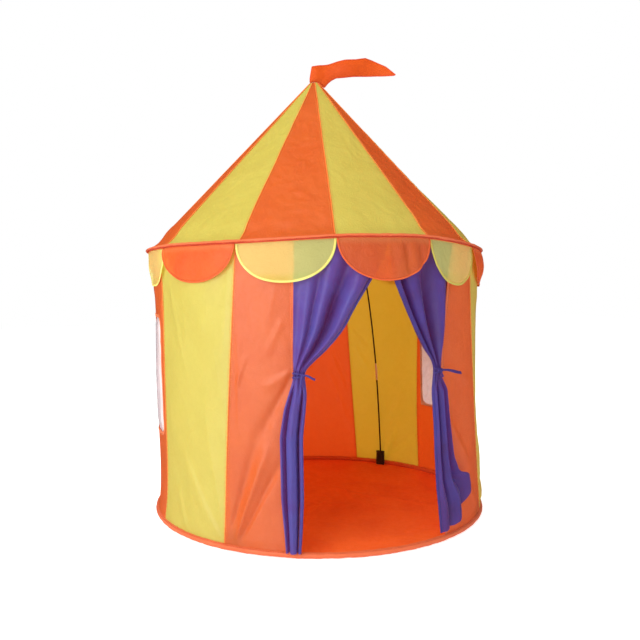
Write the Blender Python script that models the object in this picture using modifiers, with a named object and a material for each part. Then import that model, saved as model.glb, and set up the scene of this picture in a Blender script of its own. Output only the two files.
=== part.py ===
"""A children's play tent in the shape of a circus big top.

A round tent of thin cloth on four bent rods. Twelve wall panels stand between a hoop on the floor
and a hoop at the eaves, twelve gores rise from the eaves to a hub at the point, and scallops hang
from the eaves all the way round. One panel is the doorway, with two tied curtains, and two panels
have a window of clear film.

The tent stands on the ground plane with its axis on Z and its doorway towards -Y. An azimuth is
the angle about the axis from the middle of the doorway, positive towards +X. Lengths are in metres.
"""

import math

import bmesh
import bpy
from mathutils import Vector

# Driving dimensions
PANEL_COUNT = 12
PANEL_ANGLE = 2 * math.pi / PANEL_COUNT
COLUMNS_PER_PANEL = 6
RING_SEGMENTS = PANEL_COUNT * COLUMNS_PER_PANEL
TUBE_SEGMENTS = 8
SHARP_ANGLE = math.radians(40)
MERGE_DISTANCE = 0.00002

EAVE_HEIGHT = 0.7378
EAVE_RADIUS = 0.478
EAVE_TUBE = 0.0058
APEX_HEIGHT = 1.240
BASE_RADIUS = 0.471
BASE_TUBE = 0.007

CLOTH = 0.002
THIN_CLOTH = 0.001
GAP = 0.0003
LAYER_GAP = 0.0008

# Everything above the foot pockets leans evenly up to the eaves, and stands straight above them
LEAN = Vector((-0.0130, 0.0055, 0.0))
LEAN_START = 0.060

# The cloth is lifted at the eaves: by a narrow arch over the doorway and a wide low rise
ARCH_HEIGHT = 0.0165
ARCH_AZIMUTH = math.radians(4)
ARCH_REACH = math.radians(31)
RISE_HEIGHT = 0.0075
RISE_AZIMUTH = math.radians(-12)
RISE_REACH = math.radians(62)
LIFT_START = 0.550
LIFT_FULL = 0.720
LIFT_FADES = 0.750

# Walls
WALL_FOOT = 2 * BASE_TUBE + GAP
WALL_TOP = EAVE_HEIGHT - EAVE_TUBE - GAP
WALL_FOOT_RADIUS = BASE_RADIUS + CLOTH / 2
WALL_TOP_RADIUS = 0.4755
WALL_SAG = 0.018
WALL_SAG_POWER = 4
WALL_BOW = 0.009
WALL_BOW_AZIMUTH = math.radians(-112)
WALL_ROWS = 5
POLE_REACH = math.radians(22)
DOOR_EDGE_LEFT = math.radians(-27.7)
DOOR_EDGE_RIGHT = math.radians(24.9)
DOOR_EDGE_PULLED = math.radians(21.3)
DOOR_EDGE_FOOT = math.radians(20.0)
DOOR_PULL_HEIGHT = 0.5

# Windows
WINDOW_HALF_WIDTH = 0.088
WINDOW_LOW = 0.240
WINDOW_HIGH = 0.555
WINDOW_CORNER = 0.025
WINDOW_CORNER_SEGMENTS = 4
WINDOW_CUT_DEPTH = 0.12
FILM = 0.001
FILM_MARGIN = 0.009
FILM_COLUMNS = 4
FILM_ROWS = 3

# Scallops
HEADER_HEIGHT = 0.006
SCALLOP_FOOT = 0.642
SCALLOP_BULGE = 0.006
SCALLOP_COLUMNS = 8
SCALLOP_ROWS = 2
VALANCE_TOP = WALL_TOP
YELLOW_VALANCE_RADIUS = WALL_TOP_RADIUS + LAYER_GAP
ORANGE_VALANCE_RADIUS = YELLOW_VALANCE_RADIUS + THIN_CLOTH + LAYER_GAP

# Roof
ROOF_SLOPE = math.atan2(APEX_HEIGHT - EAVE_HEIGHT, EAVE_RADIUS)
ROOF_FOOT_OFFSET = EAVE_TUBE + GAP
ROOF_TOP_RADIUS = 0.0125
ROOF_ROWS = 2

# Poles, as radius and height in the upright plane that each pole bends in
POLE_AZIMUTHS = {
    "front_left": math.radians(-48),
    "front_right": math.radians(44),
    "back_right": math.radians(129.4),
    "back_left": math.radians(-135),
}
POLE_RADIUS = 0.00275
POLE_FOOT_RADIUS = 0.4558
POLE_FOOT = 0.0068
POLE_SPAN_STEPS = 2
FERRULE_LOW = 0.306
FERRULE_HIGH = 0.366
FERRULE_FACTOR = 1.3
FERRULE_STEP = 0.0003
POLE_ROUTE = (
    (POLE_FOOT_RADIUS, POLE_FOOT),
    (POLE_FOOT_RADIUS, 0.056),
    (0.4475, 0.180),
    (0.4350, FERRULE_LOW),
    (0.4275, FERRULE_HIGH),
    (0.4005, 0.500),
    (0.3640, 0.630),
    (0.3080, 0.760),
    (0.2320, 0.890),
    (0.1510, 1.005),
    (0.0740, 1.098),
    (0.0224, 1.1476),
)

# Foot pockets
POCKET_WIDTH = 0.031
POCKET_DEPTH = 0.0136
POCKET_HEIGHT = 0.048
POCKET_EDGE = 0.002
POCKET_BORE = POLE_RADIUS + 2 * GAP
POCKET_BORE_SEGMENTS = 16

# Hub, as radius and height down its outer side
HUB_STEPS = 24
HUB_NECK_RADIUS = 0.0112
HUB_TOP = 1.2300
HUB_PROFILE = (
    (0.0, HUB_TOP),
    (0.0060, 1.2296),
    (0.0098, 1.2284),
    (HUB_NECK_RADIUS, 1.2262),
    (HUB_NECK_RADIUS, 1.2000),
    (0.0300, 1.1850),
    (0.0340, 1.1720),
    (0.0340, 1.1600),
    (0.0100, 1.1360),
    (0.0, 1.1360),
)

# Pennant, as the distance from the axis along the pennant and the height
PENNANT_AZIMUTH = math.radians(67.6)
PENNANT_THICKNESS = 0.003
PENNANT_OUTLINE = (
    (-0.0133, HUB_TOP + GAP),
    (0.0133, HUB_TOP + GAP),
    (0.0285, 1.2165),
    (0.0490, 1.2369),
    (0.0626, 1.2432),
    (0.0875, 1.2441),
    (0.1350, 1.2478),
    (0.1806, 1.2501),
    (0.2260, 1.2490),
    (0.2352, 1.2510),
    (0.2076, 1.2753),
    (0.1670, 1.2940),
    (0.1484, 1.3000),
    (0.1190, 1.2934),
    (0.0900, 1.2934),
    (0.0670, 1.2896),
    (0.0397, 1.2820),
    (-0.0073, 1.2756),
)

# Curtains. A row is the height of its outer and of its inner end, the azimuths in degrees of these
# ends, the radius of its middle, the depth of its pleats and half the thickness of its bundle.
CURTAIN_COLUMNS = 16
CURTAIN_PLEATS = 3
CURTAIN_END = 0.35
TIE_LOW = 0.431
TIE_HIGH = 0.441
TIE_CLOTH = 0.0012
LEFT_CURTAIN = (
    (0.7315, 0.7315, 27.1, 0.3, 0.4725, 0.0020, 0.0010),
    (0.6900, 0.6900, 27.1, 1.7, 0.4720, 0.0022, 0.0011),
    (0.6430, 0.6430, 27.2, 5.4, 0.4722, 0.0025, 0.0013),
    (0.5850, 0.5850, 27.3, 10.6, 0.4740, 0.0025, 0.0020),
    (0.5390, 0.5390, 27.5, 14.4, 0.4775, 0.0025, 0.0030),
    (0.4980, 0.4980, 27.8, 18.6, 0.4815, 0.0022, 0.0045),
    (0.4680, 0.4680, 28.2, 22.7, 0.4850, 0.0010, 0.0065),
    (0.4450, 0.4450, 28.5, 25.3, 0.4865, 0.0, 0.0080),
    (0.4270, 0.4270, 28.5, 25.3, 0.4865, 0.0, 0.0080),
    (0.3540, 0.3540, 31.0, 25.2, 0.4865, 0.0010, 0.0075),
    (0.2900, 0.2900, 32.1, 26.0, 0.4865, 0.0015, 0.0065),
    (0.1400, 0.1400, 32.3, 26.0, 0.4860, 0.0020, 0.0055),
    (0.0145, 0.0145, 31.3, 27.0, 0.4855, 0.0020, 0.0050),
)
RIGHT_CURTAIN = (
    (0.7315, 0.7315, 24.3, 0.3, 0.4725, 0.0020, 0.0010),
    (0.6900, 0.6900, 23.6, 0.6, 0.4720, 0.0022, 0.0011),
    (0.6430, 0.6430, 23.2, 1.9, 0.4722, 0.0025, 0.0013),
    (0.5830, 0.5830, 21.4, 5.4, 0.4740, 0.0025, 0.0020),
    (0.5340, 0.5340, 20.0, 8.7, 0.4775, 0.0025, 0.0030),
    (0.4880, 0.4880, 18.4, 11.7, 0.4820, 0.0020, 0.0050),
    (0.4650, 0.4650, 17.6, 13.4, 0.4850, 0.0010, 0.0070),
    (0.4460, 0.4460, 17.1, 14.5, 0.4865, 0.0, 0.0080),
    (0.4280, 0.4280, 17.1, 14.5, 0.4865, 0.0, 0.0080),
    (0.3900, 0.3900, 19.5, 13.8, 0.4865, 0.0010, 0.0075),
    (0.3000, 0.3000, 20.5, 14.3, 0.4865, 0.0015, 0.0070),
    (0.2150, 0.2250, 22.2, 14.6, 0.4865, 0.0020, 0.0060),
    (0.1500, 0.1650, 29.1, 14.9, 0.4870, 0.0020, 0.0055),
    (0.1120, 0.0300, 34.5, 16.8, 0.4870, 0.0020, 0.0050),
)

# Places of the panels, counted from the doorway towards +X
PLACES = (
    "front",
    "front_right_1",
    "front_right_2",
    "right",
    "back_right_1",
    "back_right_2",
    "back",
    "back_left_2",
    "back_left_1",
    "left",
    "front_left_2",
    "front_left_1",
)

# Angles in degrees by which the seam after a panel stands off its even place: in the wall at the
# floor and at the eaves, between the scallops and in the roof
SEAM_OFFSETS = {
    "front": (0.0, 0.0, -1.1, -1.7),
    "front_right_1": (5.0, -8.5, -7.7, -10.0),
    "front_right_2": (2.0, 0.0, 0.0, 0.0),
    "right": (6.2, 3.4, 0.0, 0.0),
    "back_right_1": (6.1, 10.8, 0.0, 0.0),
    "back_right_2": (3.0, 3.0, 0.0, 0.0),
    "back_left_2": (-3.5, -3.5, 0.0, 0.0),
    "back_left_1": (-7.0, -7.0, 0.0, 0.0),
    "left": (-9.0, -6.0, -0.5, 0.0),
    "front_left_2": (-6.5, 0.1, 0.3, 1.6),
    "front_left_1": (0.0, 0.0, -0.7, -1.0),
}
EVEN = (0.0, 0.0, 0.0, 0.0)
FRONT = PLACES.index("front")
DOOR_RIGHT = PLACES.index("front_right_1")
DOOR_LEFT = PLACES.index("front_left_1")

# Azimuths of the middles of the windows, by panel
WINDOWS = {
    PLACES.index("right"): math.radians(96.5),
    PLACES.index("left"): math.radians(263.5),
}

# Materials, as the colour with its opacity and the roughness
MATERIALS = {
    "yellow_cloth": ((0.80, 0.62, 0.12, 1.0), 0.7),
    "orange_cloth": ((0.85, 0.16, 0.03, 1.0), 0.7),
    "floor_cloth": ((0.62, 0.06, 0.012, 1.0), 0.7),
    "purple_cloth": ((0.10, 0.07, 0.34, 1.0), 0.6),
    "clear_film": ((0.90, 0.90, 0.92, 0.35), 0.1),
    "black_rod": ((0.012, 0.012, 0.012, 1.0), 0.35),
    "black_webbing": ((0.012, 0.012, 0.012, 1.0), 0.8),
    "grey_plastic": ((0.25, 0.25, 0.26, 1.0), 0.5),
}


def clear_scene():
    """Remove every object, so that the tent stands alone."""
    for old in list(bpy.data.objects):
        bpy.data.objects.remove(old, do_unlink=True)


def make_collection(name):
    """Add a collection to the scene."""
    collection = bpy.data.collections.new(name)
    bpy.context.scene.collection.children.link(collection)
    return collection


def make_material(name):
    """Return a Principled material with its colour, opacity and roughness."""
    colour, roughness = MATERIALS[name]
    material = bpy.data.materials.new(name)
    material.use_nodes = True
    shader = material.node_tree.nodes["Principled BSDF"]
    shader.inputs["Base Color"].default_value = colour
    shader.inputs["Alpha"].default_value = colour[3]
    shader.inputs["Roughness"].default_value = roughness
    return material


def add_object(name, data, collection, material=None):
    """Put a mesh or a curve in the scene as a named object."""
    made = bpy.data.objects.new(name, data)
    if material is not None:
        data.materials.append(material)
    collection.objects.link(made)
    return made


def mesh_from(shape, name, smooth=True):
    """Turn a finished bmesh into a mesh."""
    mesh = bpy.data.meshes.new(name)
    shape.to_mesh(mesh)
    shape.free()
    if smooth:
        mesh.shade_smooth()
        mesh.set_sharp_from_angle(angle=SHARP_ANGLE)
    return mesh


def blend(first, second, share):
    """Return the value this share of the way from the first to the second."""
    return first + (second - first) * share


def share_between(low, high, value):
    """Return how far a value is on its way from low to high, from 0 to 1."""
    return min(1.0, max(0.0, (value - low) / (high - low)))


def turn_between(first, second):
    """Return the smallest angle between two azimuths."""
    return abs((first - second + math.pi) % (2 * math.pi) - math.pi)


def at(azimuth, radius, height):
    """Return the point at this azimuth, distance from the leaning axis and height."""
    straight = Vector((radius * math.sin(azimuth), -radius * math.cos(azimuth), height))
    return straight + LEAN * share_between(LEAN_START, EAVE_HEIGHT, height)


def eave_lift(azimuth):
    """Return how much higher the eave hoop stands at this azimuth than its own height."""
    arch = ARCH_HEIGHT * math.exp(-(turn_between(azimuth, ARCH_AZIMUTH) / ARCH_REACH) ** 2)
    rise = RISE_HEIGHT * math.exp(-(turn_between(azimuth, RISE_AZIMUTH) / RISE_REACH) ** 2)
    return arch + rise


def on_cloth(azimuth, radius, height):
    """Return a point of the cloth, which is lifted with the eave hoop near it."""
    below = share_between(LIFT_START, LIFT_FULL, height)
    above = share_between(APEX_HEIGHT, LIFT_FADES, height)
    return at(azimuth, radius, height) + Vector((0.0, 0.0, eave_lift(azimuth) * min(below, above)))


def seam_azimuth(index, offset):
    """Return the azimuth of the seam after a panel that stands this many degrees off its even place."""
    return (index + 0.5) * PANEL_ANGLE + math.radians(offset)


def seam_offsets(index):
    """Return the offsets of the seam after a panel."""
    return SEAM_OFFSETS.get(PLACES[index % PANEL_COUNT], EVEN)


def wall_seam(index, share):
    """Return the azimuth of a wall's seam, this share of the way from the floor to the eaves."""
    foot, top, _, _ = seam_offsets(index)
    return seam_azimuth(index, blend(foot, top, share))


def scallop_seam(index):
    """Return the azimuth at which a scallop meets the next one."""
    return seam_azimuth(index, seam_offsets(index)[2])


def roof_seam(index):
    """Return the azimuth of a roof's seam."""
    return seam_azimuth(index, seam_offsets(index)[3])


def pole_nearness(azimuth):
    """Return 1 at a pole, falling smoothly to nearly 0 midway between two poles."""
    return max(math.exp(-(turn_between(azimuth, pole) / POLE_REACH) ** 2) for pole in POLE_AZIMUTHS.values())


def wall_radius(azimuth, height):
    """Return the radius of the wall's outer face, which sags between the poles and bows to one side."""
    share = (height - WALL_FOOT) / (WALL_TOP - WALL_FOOT)
    middle = 1 - (2 * share - 1) ** WALL_SAG_POWER
    sag = WALL_SAG * (1 - pole_nearness(azimuth)) * middle
    bow = WALL_BOW * math.sin(math.pi * share) * math.cos(azimuth - WALL_BOW_AZIMUTH)
    return blend(WALL_FOOT_RADIUS, WALL_TOP_RADIUS, share) - sag + bow


def door_edge_right(height):
    """Return the azimuth of the doorway's right edge, which its tie pulls towards the middle."""
    if height > DOOR_PULL_HEIGHT:
        share = (height - DOOR_PULL_HEIGHT) / (WALL_TOP - DOOR_PULL_HEIGHT)
        return blend(DOOR_EDGE_PULLED, DOOR_EDGE_RIGHT, share)
    return blend(DOOR_EDGE_FOOT, DOOR_EDGE_PULLED, height / DOOR_PULL_HEIGHT)


def add_sheet(name, columns, rows, place, collection, material, thickness, offset):
    """Lay a grid through place(across, up), each from 0 to 1, and thicken it into a solid."""
    shape = bmesh.new()
    bmesh.ops.create_grid(shape, x_segments=columns, y_segments=rows, size=0.5)
    for vertex in shape.verts:
        vertex.co = place(vertex.co.x + 0.5, vertex.co.y + 0.5)
    bmesh.ops.remove_doubles(shape, verts=shape.verts, dist=MERGE_DISTANCE)
    sheet = add_object(name, mesh_from(shape, name), collection, material)
    solidify = sheet.modifiers.new("thickness", "SOLIDIFY")
    solidify.thickness = thickness
    solidify.offset = offset
    return sheet


def add_ring(name, radius, tube, height, collection, material):
    """Add a hem with its hoop: a ring of round section."""
    bpy.ops.mesh.primitive_torus_add(
        major_segments=RING_SEGMENTS,
        minor_segments=TUBE_SEGMENTS,
        major_radius=radius,
        minor_radius=tube,
        location=(0.0, 0.0, height),
    )
    ring = bpy.context.object
    ring.name = name
    ring.data.name = name
    ring.data.materials.append(material)
    ring.data.shade_smooth()
    for owner in list(ring.users_collection):
        owner.objects.unlink(ring)
    collection.objects.link(ring)
    return ring


def add_eave_hem(collection, material):
    """Add the eave hem, which leans with the tent and arches over the doorway."""
    ring = add_ring("eave_hem", EAVE_RADIUS, EAVE_TUBE, EAVE_HEIGHT, collection, material)
    for vertex in ring.data.vertices:
        vertex.co.z += eave_lift(math.atan2(vertex.co.x, -vertex.co.y))
    ring.location += LEAN
    return ring


def add_floor(collection, material):
    """Add the floor sheet, a flat disc inside the base hem."""
    rise = BASE_TUBE - CLOTH
    radius = BASE_RADIUS - math.sqrt(BASE_TUBE ** 2 - rise ** 2) - GAP
    shape = bmesh.new()
    bmesh.ops.create_cone(
        shape, cap_ends=True, segments=RING_SEGMENTS, radius1=radius, radius2=radius, depth=CLOTH
    )
    floor = add_object("floor_sheet", mesh_from(shape, "floor_sheet"), collection, material)
    floor.location = (0.0, 0.0, CLOTH / 2)
    return floor


def add_wall(index, collection, material):
    """Add one wall panel, a curved sheet between two seams or between a seam and the doorway."""
    seam_gap = GAP / 2 / WALL_FOOT_RADIUS

    def place(across, up):
        height = blend(WALL_FOOT, WALL_TOP, up)
        low = wall_seam(index - 1, up) + seam_gap
        high = wall_seam(index, up) - seam_gap
        if index == DOOR_LEFT:
            high = 2 * math.pi + DOOR_EDGE_LEFT
        if index == DOOR_RIGHT:
            low = door_edge_right(height)
        azimuth = blend(low, high, across)
        return on_cloth(azimuth, wall_radius(azimuth, height), height)

    name = "wall_panel_" + PLACES[index]
    return add_sheet(name, COLUMNS_PER_PANEL, WALL_ROWS, place, collection, material, CLOTH, -1)


def add_window_cutter(index, collection):
    """Add the rounded block that a window's opening is cut with."""
    shape = bmesh.new()
    bmesh.ops.create_cube(shape, size=1.0)
    size = Vector((2 * WINDOW_HALF_WIDTH, WINDOW_CUT_DEPTH, WINDOW_HIGH - WINDOW_LOW))
    bmesh.ops.scale(shape, vec=size, verts=shape.verts)
    corners = [edge for edge in shape.edges if abs((edge.verts[0].co - edge.verts[1].co).y) > 0.5 * size.y]
    bmesh.ops.bevel(
        shape,
        geom=corners,
        offset=WINDOW_CORNER,
        offset_type="OFFSET",
        segments=WINDOW_CORNER_SEGMENTS,
        profile=0.5,
        affect="EDGES",
    )
    name = "window_cutter_" + PLACES[index]
    cutter = add_object(name, mesh_from(shape, name, smooth=False), collection)
    azimuth = WINDOWS[index]
    height = (WINDOW_LOW + WINDOW_HIGH) / 2
    cutter.location = at(azimuth, WALL_FOOT_RADIUS - WALL_SAG / 2, height)
    cutter.rotation_euler = (0.0, 0.0, azimuth)
    cutter.hide_render = True
    cutter.display_type = "WIRE"
    return cutter


def cut(target, cutter):
    """Cut one object with another."""
    boolean = target.modifiers.new("opening", "BOOLEAN")
    boolean.operation = "DIFFERENCE"
    boolean.solver = "EXACT"
    boolean.object = cutter


def add_film(index, collection, material):
    """Add a window's clear film, sewn behind the wall panel."""
    middle = WINDOWS[index]
    half_angle = (WINDOW_HALF_WIDTH + FILM_MARGIN) / WALL_FOOT_RADIUS
    inset = CLOTH + LAYER_GAP

    def place(across, up):
        azimuth = middle + blend(-half_angle, half_angle, across)
        height = blend(WINDOW_LOW - FILM_MARGIN, WINDOW_HIGH + FILM_MARGIN, up)
        return on_cloth(azimuth, wall_radius(azimuth, height) - inset, height)

    name = "window_film_" + PLACES[index]
    return add_sheet(name, FILM_COLUMNS, FILM_ROWS, place, collection, material, FILM, -1)


def scallop_depth(across):
    """Return how far a scallop hangs below its header, from -1 to 1 across it."""
    return (VALANCE_TOP - HEADER_HEIGHT - SCALLOP_FOOT) * math.sqrt(1 - across ** 2)


def add_valance(name, radius, first, collection, material):
    """Add every second scallop round the tent, from the first one on, with their header strip."""
    stations = []
    for index in range(PANEL_COUNT):
        low = scallop_seam(index - 1)
        high = scallop_seam(index)
        hangs = index % 2 == first
        count = SCALLOP_COLUMNS if hangs else COLUMNS_PER_PANEL
        for step in range(count):
            across = -math.cos(math.pi * step / count) if hangs else 2 * step / count - 1
            stations.append((blend(low, high, (1 + across) / 2), scallop_depth(across) if hangs else 0.0))
    stations.append((stations[0][0] + 2 * math.pi, stations[0][1]))
    columns = len(stations) - 1
    rows = SCALLOP_ROWS + 1
    header_foot = VALANCE_TOP - HEADER_HEIGHT

    def place(across, up):
        azimuth, depth = stations[round(across * columns)]
        down = rows - round(up * rows)
        if down == 0:
            return on_cloth(azimuth, radius, VALANCE_TOP)
        fall = depth * (down - 1) / SCALLOP_ROWS
        bulge = SCALLOP_BULGE * math.sin(math.pi / 2 * fall / (header_foot - SCALLOP_FOOT))
        return on_cloth(azimuth, radius + bulge, header_foot - fall)

    return add_sheet(name, columns, rows, place, collection, material, THIN_CLOTH, 1)


def add_gore(index, collection, material):
    """Add one roof gore, a strip of the cone from the eaves to the hub's neck."""
    foot_radius = EAVE_RADIUS - ROOF_FOOT_OFFSET * math.cos(ROOF_SLOPE)

    def place(across, up):
        radius = blend(foot_radius, ROOF_TOP_RADIUS, up)
        height = APEX_HEIGHT - radius * math.tan(ROOF_SLOPE)
        seam_gap = GAP / 2 / radius
        low = roof_seam(index - 1) + seam_gap
        high = roof_seam(index) - seam_gap
        return on_cloth(blend(low, high, across), radius, height)

    name = "roof_gore_" + PLACES[index]
    return add_sheet(name, COLUMNS_PER_PANEL, ROOF_ROWS, place, collection, material, CLOTH, 0)


def curve_point(points, span, share):
    """Return a point on the smooth curve through these points, on the stretch after point number span."""
    before = Vector(points[max(span - 1, 0)])
    start = Vector(points[span])
    end = Vector(points[span + 1])
    after = Vector(points[min(span + 2, len(points) - 1)])
    return 0.5 * (
        2 * start
        + (end - before) * share
        + (2 * before - 5 * start + 4 * end - after) * share ** 2
        + (3 * start - before - 3 * end + after) * share ** 3
    )


def pole_stations():
    """Return the pole's points as radius, height and thickness factor, with a step at each ferrule end."""
    stations = []
    for span in range(len(POLE_ROUTE) - 1):
        steps = 1 if span == 0 else POLE_SPAN_STEPS
        for step in range(steps):
            radius, height = curve_point(POLE_ROUTE, span, step / steps) if span else POLE_ROUTE[0]
            inside = FERRULE_LOW < height < FERRULE_HIGH
            stations.append((radius, height, FERRULE_FACTOR if inside else 1.0))
            if height == FERRULE_LOW:
                stations.append((radius, height + FERRULE_STEP, FERRULE_FACTOR))
        if POLE_ROUTE[span + 1][1] == FERRULE_HIGH:
            radius, height = POLE_ROUTE[span + 1]
            stations.append((radius, height - FERRULE_STEP, FERRULE_FACTOR))
    stations.append((POLE_ROUTE[-1][0], POLE_ROUTE[-1][1], 1.0))
    return stations


def add_pole(place, azimuth, collection, material):
    """Add one bent rod, from its foot pocket to the hub, with its ferrule as a thicker stretch."""
    curve = bpy.data.curves.new("pole_" + place, "CURVE")
    curve.dimensions = "3D"
    curve.bevel_depth = POLE_RADIUS
    curve.bevel_resolution = 2
    curve.use_fill_caps = True
    stations = pole_stations()
    spline = curve.splines.new("POLY")
    spline.points.add(len(stations) - 1)
    for point, (radius, height, factor) in zip(spline.points, stations):
        point.co = (*at(azimuth, radius, height), 1.0)
        point.radius = factor
    return add_object("pole_" + place, curve, collection, material)


def add_pocket(place, azimuth, collection, cutters, material):
    """Add the pocket that a pole's foot stands in, bored from its top."""
    name = "foot_pocket_" + place
    shape = bmesh.new()
    bmesh.ops.create_cube(shape, size=1.0)
    bmesh.ops.scale(shape, vec=(POCKET_WIDTH, POCKET_DEPTH, POCKET_HEIGHT), verts=shape.verts)
    pocket = add_object(name, mesh_from(shape, name, smooth=False), collection, material)
    pocket.location = at(azimuth, POLE_FOOT_RADIUS, CLOTH + GAP + POCKET_HEIGHT / 2)
    pocket.rotation_euler = (0.0, 0.0, azimuth)
    bevel = pocket.modifiers.new("edges", "BEVEL")
    bevel.width = POCKET_EDGE
    bevel.segments = 1

    bore = bmesh.new()
    bmesh.ops.create_cone(
        bore,
        cap_ends=True,
        segments=POCKET_BORE_SEGMENTS,
        radius1=POCKET_BORE,
        radius2=POCKET_BORE,
        depth=2 * POCKET_HEIGHT,
    )
    cutter = add_object("pocket_bore_" + place, mesh_from(bore, name + "_bore", smooth=False), cutters)
    cutter.location = at(azimuth, POLE_FOOT_RADIUS, POLE_FOOT - GAP + POCKET_HEIGHT)
    cutter.hide_render = True
    cutter.display_type = "WIRE"
    cut(pocket, cutter)
    return pocket


def add_hub(collection, material):
    """Add the hub that the poles meet in, a turned piece whose neck passes through the roof's point."""
    shape = bmesh.new()
    points = [shape.verts.new((radius, 0.0, height)) for radius, height in HUB_PROFILE]
    for upper, lower in zip(points, points[1:]):
        shape.edges.new((upper, lower))
    hub = add_object("apex_hub", mesh_from(shape, "apex_hub", smooth=False), collection, material)
    screw = hub.modifiers.new("turn", "SCREW")
    screw.axis = "Z"
    screw.angle = 2 * math.pi
    screw.steps = HUB_STEPS
    screw.render_steps = HUB_STEPS
    screw.use_merge_vertices = True
    screw.merge_threshold = MERGE_DISTANCE
    hub.location = LEAN
    return hub


def add_pennant(collection, material):
    """Add the pennant that stands on the hub."""
    curve = bpy.data.curves.new("pennant", "CURVE")
    curve.dimensions = "2D"
    curve.fill_mode = "BOTH"
    curve.extrude = PENNANT_THICKNESS / 2
    spline = curve.splines.new("POLY")
    spline.points.add(len(PENNANT_OUTLINE) - 1)
    for point, (along, height) in zip(spline.points, PENNANT_OUTLINE):
        point.co = (along, height, 0.0, 1.0)
    spline.use_cyclic_u = True
    pennant = add_object("pennant", curve, collection, material)
    pennant.location = LEAN
    pennant.rotation_euler = (math.radians(90), 0.0, PENNANT_AZIMUTH - math.radians(90))
    return pennant


def bundle_section(row, side, grow=0.0):
    """Return the closed outline of a curtain at one row, front face first, then back."""
    outer_height, inner_height, outer_end, inner_end, radius, pleat, bulk = row
    front = []
    back = []
    for column in range(CURTAIN_COLUMNS + 1):
        share = column / CURTAIN_COLUMNS
        reach = grow / radius * (2 * share - 1)
        azimuth = side * (math.radians(blend(outer_end, inner_end, share)) - reach)
        height = blend(outer_height, inner_height, share)
        wave = pleat * math.sin(2 * math.pi * CURTAIN_PLEATS * share)
        half = bulk * max(CURTAIN_END, math.sin(math.pi * share)) + grow
        front.append(on_cloth(azimuth, radius + wave + half, height))
        back.append(on_cloth(azimuth, radius + wave - half, height))
    return front + back[::-1]


def add_curtain(name, rows, side, collection, material):
    """Add one curtain: pleated at the top, gathered by its tie, and hanging to the floor."""
    shape = bmesh.new()
    rings = [[shape.verts.new(point) for point in bundle_section(row, side)] for row in rows]
    count = len(rings[0])
    for upper, lower in zip(rings, rings[1:]):
        for number in range(count):
            following = (number + 1) % count
            shape.faces.new((upper[number], upper[following], lower[following], lower[number]))
    shape.faces.new(rings[0])
    shape.faces.new(rings[-1])
    bmesh.ops.recalc_face_normals(shape, faces=shape.faces)
    return add_object(name, mesh_from(shape, name), collection, material)


def add_tie(name, rows, side, collection, material):
    """Add the ribbon round a curtain's gathered stretch, a closed band."""
    gathered = min(rows, key=lambda row: abs(row[0] - TIE_HIGH))
    shape = bmesh.new()
    loops = []
    for height in (TIE_HIGH, TIE_LOW):
        row = (height, height, *gathered[2:])
        loops.append([shape.verts.new(point) for point in bundle_section(row, side, grow=GAP)])
    upper, lower = loops
    for number in range(len(upper)):
        following = (number + 1) % len(upper)
        shape.faces.new((upper[number], upper[following], lower[following], lower[number]))
    if side < 0:
        bmesh.ops.reverse_faces(shape, faces=shape.faces)
    tie = add_object(name, mesh_from(shape, name), collection, material)
    solidify = tie.modifiers.new("thickness", "SOLIDIFY")
    solidify.thickness = TIE_CLOTH
    solidify.offset = 1
    return tie


def build():
    """Make the whole tent."""
    clear_scene()
    tent = make_collection("circus_play_tent")
    cutters = make_collection("cutters")

    yellow = make_material("yellow_cloth")
    orange = make_material("orange_cloth")
    floor_cloth = make_material("floor_cloth")
    purple = make_material("purple_cloth")
    film = make_material("clear_film")
    rod = make_material("black_rod")
    webbing = make_material("black_webbing")
    plastic = make_material("grey_plastic")
    panel_cloth = (yellow, orange)

    add_ring("base_hem", BASE_RADIUS, BASE_TUBE, BASE_TUBE, tent, orange)
    add_eave_hem(tent, orange)
    add_floor(tent, floor_cloth)

    for index in range(PANEL_COUNT):
        cloth = panel_cloth[index % 2]
        add_gore(index, tent, cloth)
        if index == FRONT:
            continue
        wall = add_wall(index, tent, cloth)
        if index in WINDOWS:
            cut(wall, add_window_cutter(index, cutters))
            add_film(index, tent, film)

    add_valance("scallops_orange", ORANGE_VALANCE_RADIUS, 0, tent, orange)
    add_valance("scallops_yellow", YELLOW_VALANCE_RADIUS, 1, tent, yellow)

    add_curtain("curtain_left", LEFT_CURTAIN, -1, tent, purple)
    add_curtain("curtain_right", RIGHT_CURTAIN, 1, tent, purple)
    add_tie("curtain_tie_left", LEFT_CURTAIN, -1, tent, purple)
    add_tie("curtain_tie_right", RIGHT_CURTAIN, 1, tent, purple)

    for place, azimuth in POLE_AZIMUTHS.items():
        add_pole(place, azimuth, tent, rod)
        add_pocket(place, azimuth, tent, cutters, webbing)
    add_hub(tent, plastic)
    add_pennant(tent, orange)


build()
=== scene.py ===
"""The looks of the circus big top play tent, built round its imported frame.

Azimuths are angles about the tent's axis from the middle of the doorway, in degrees and positive
towards +X. Lengths are in metres. Cloth surfaces carry a UV map in metres along their weave.
"""

import math

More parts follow.
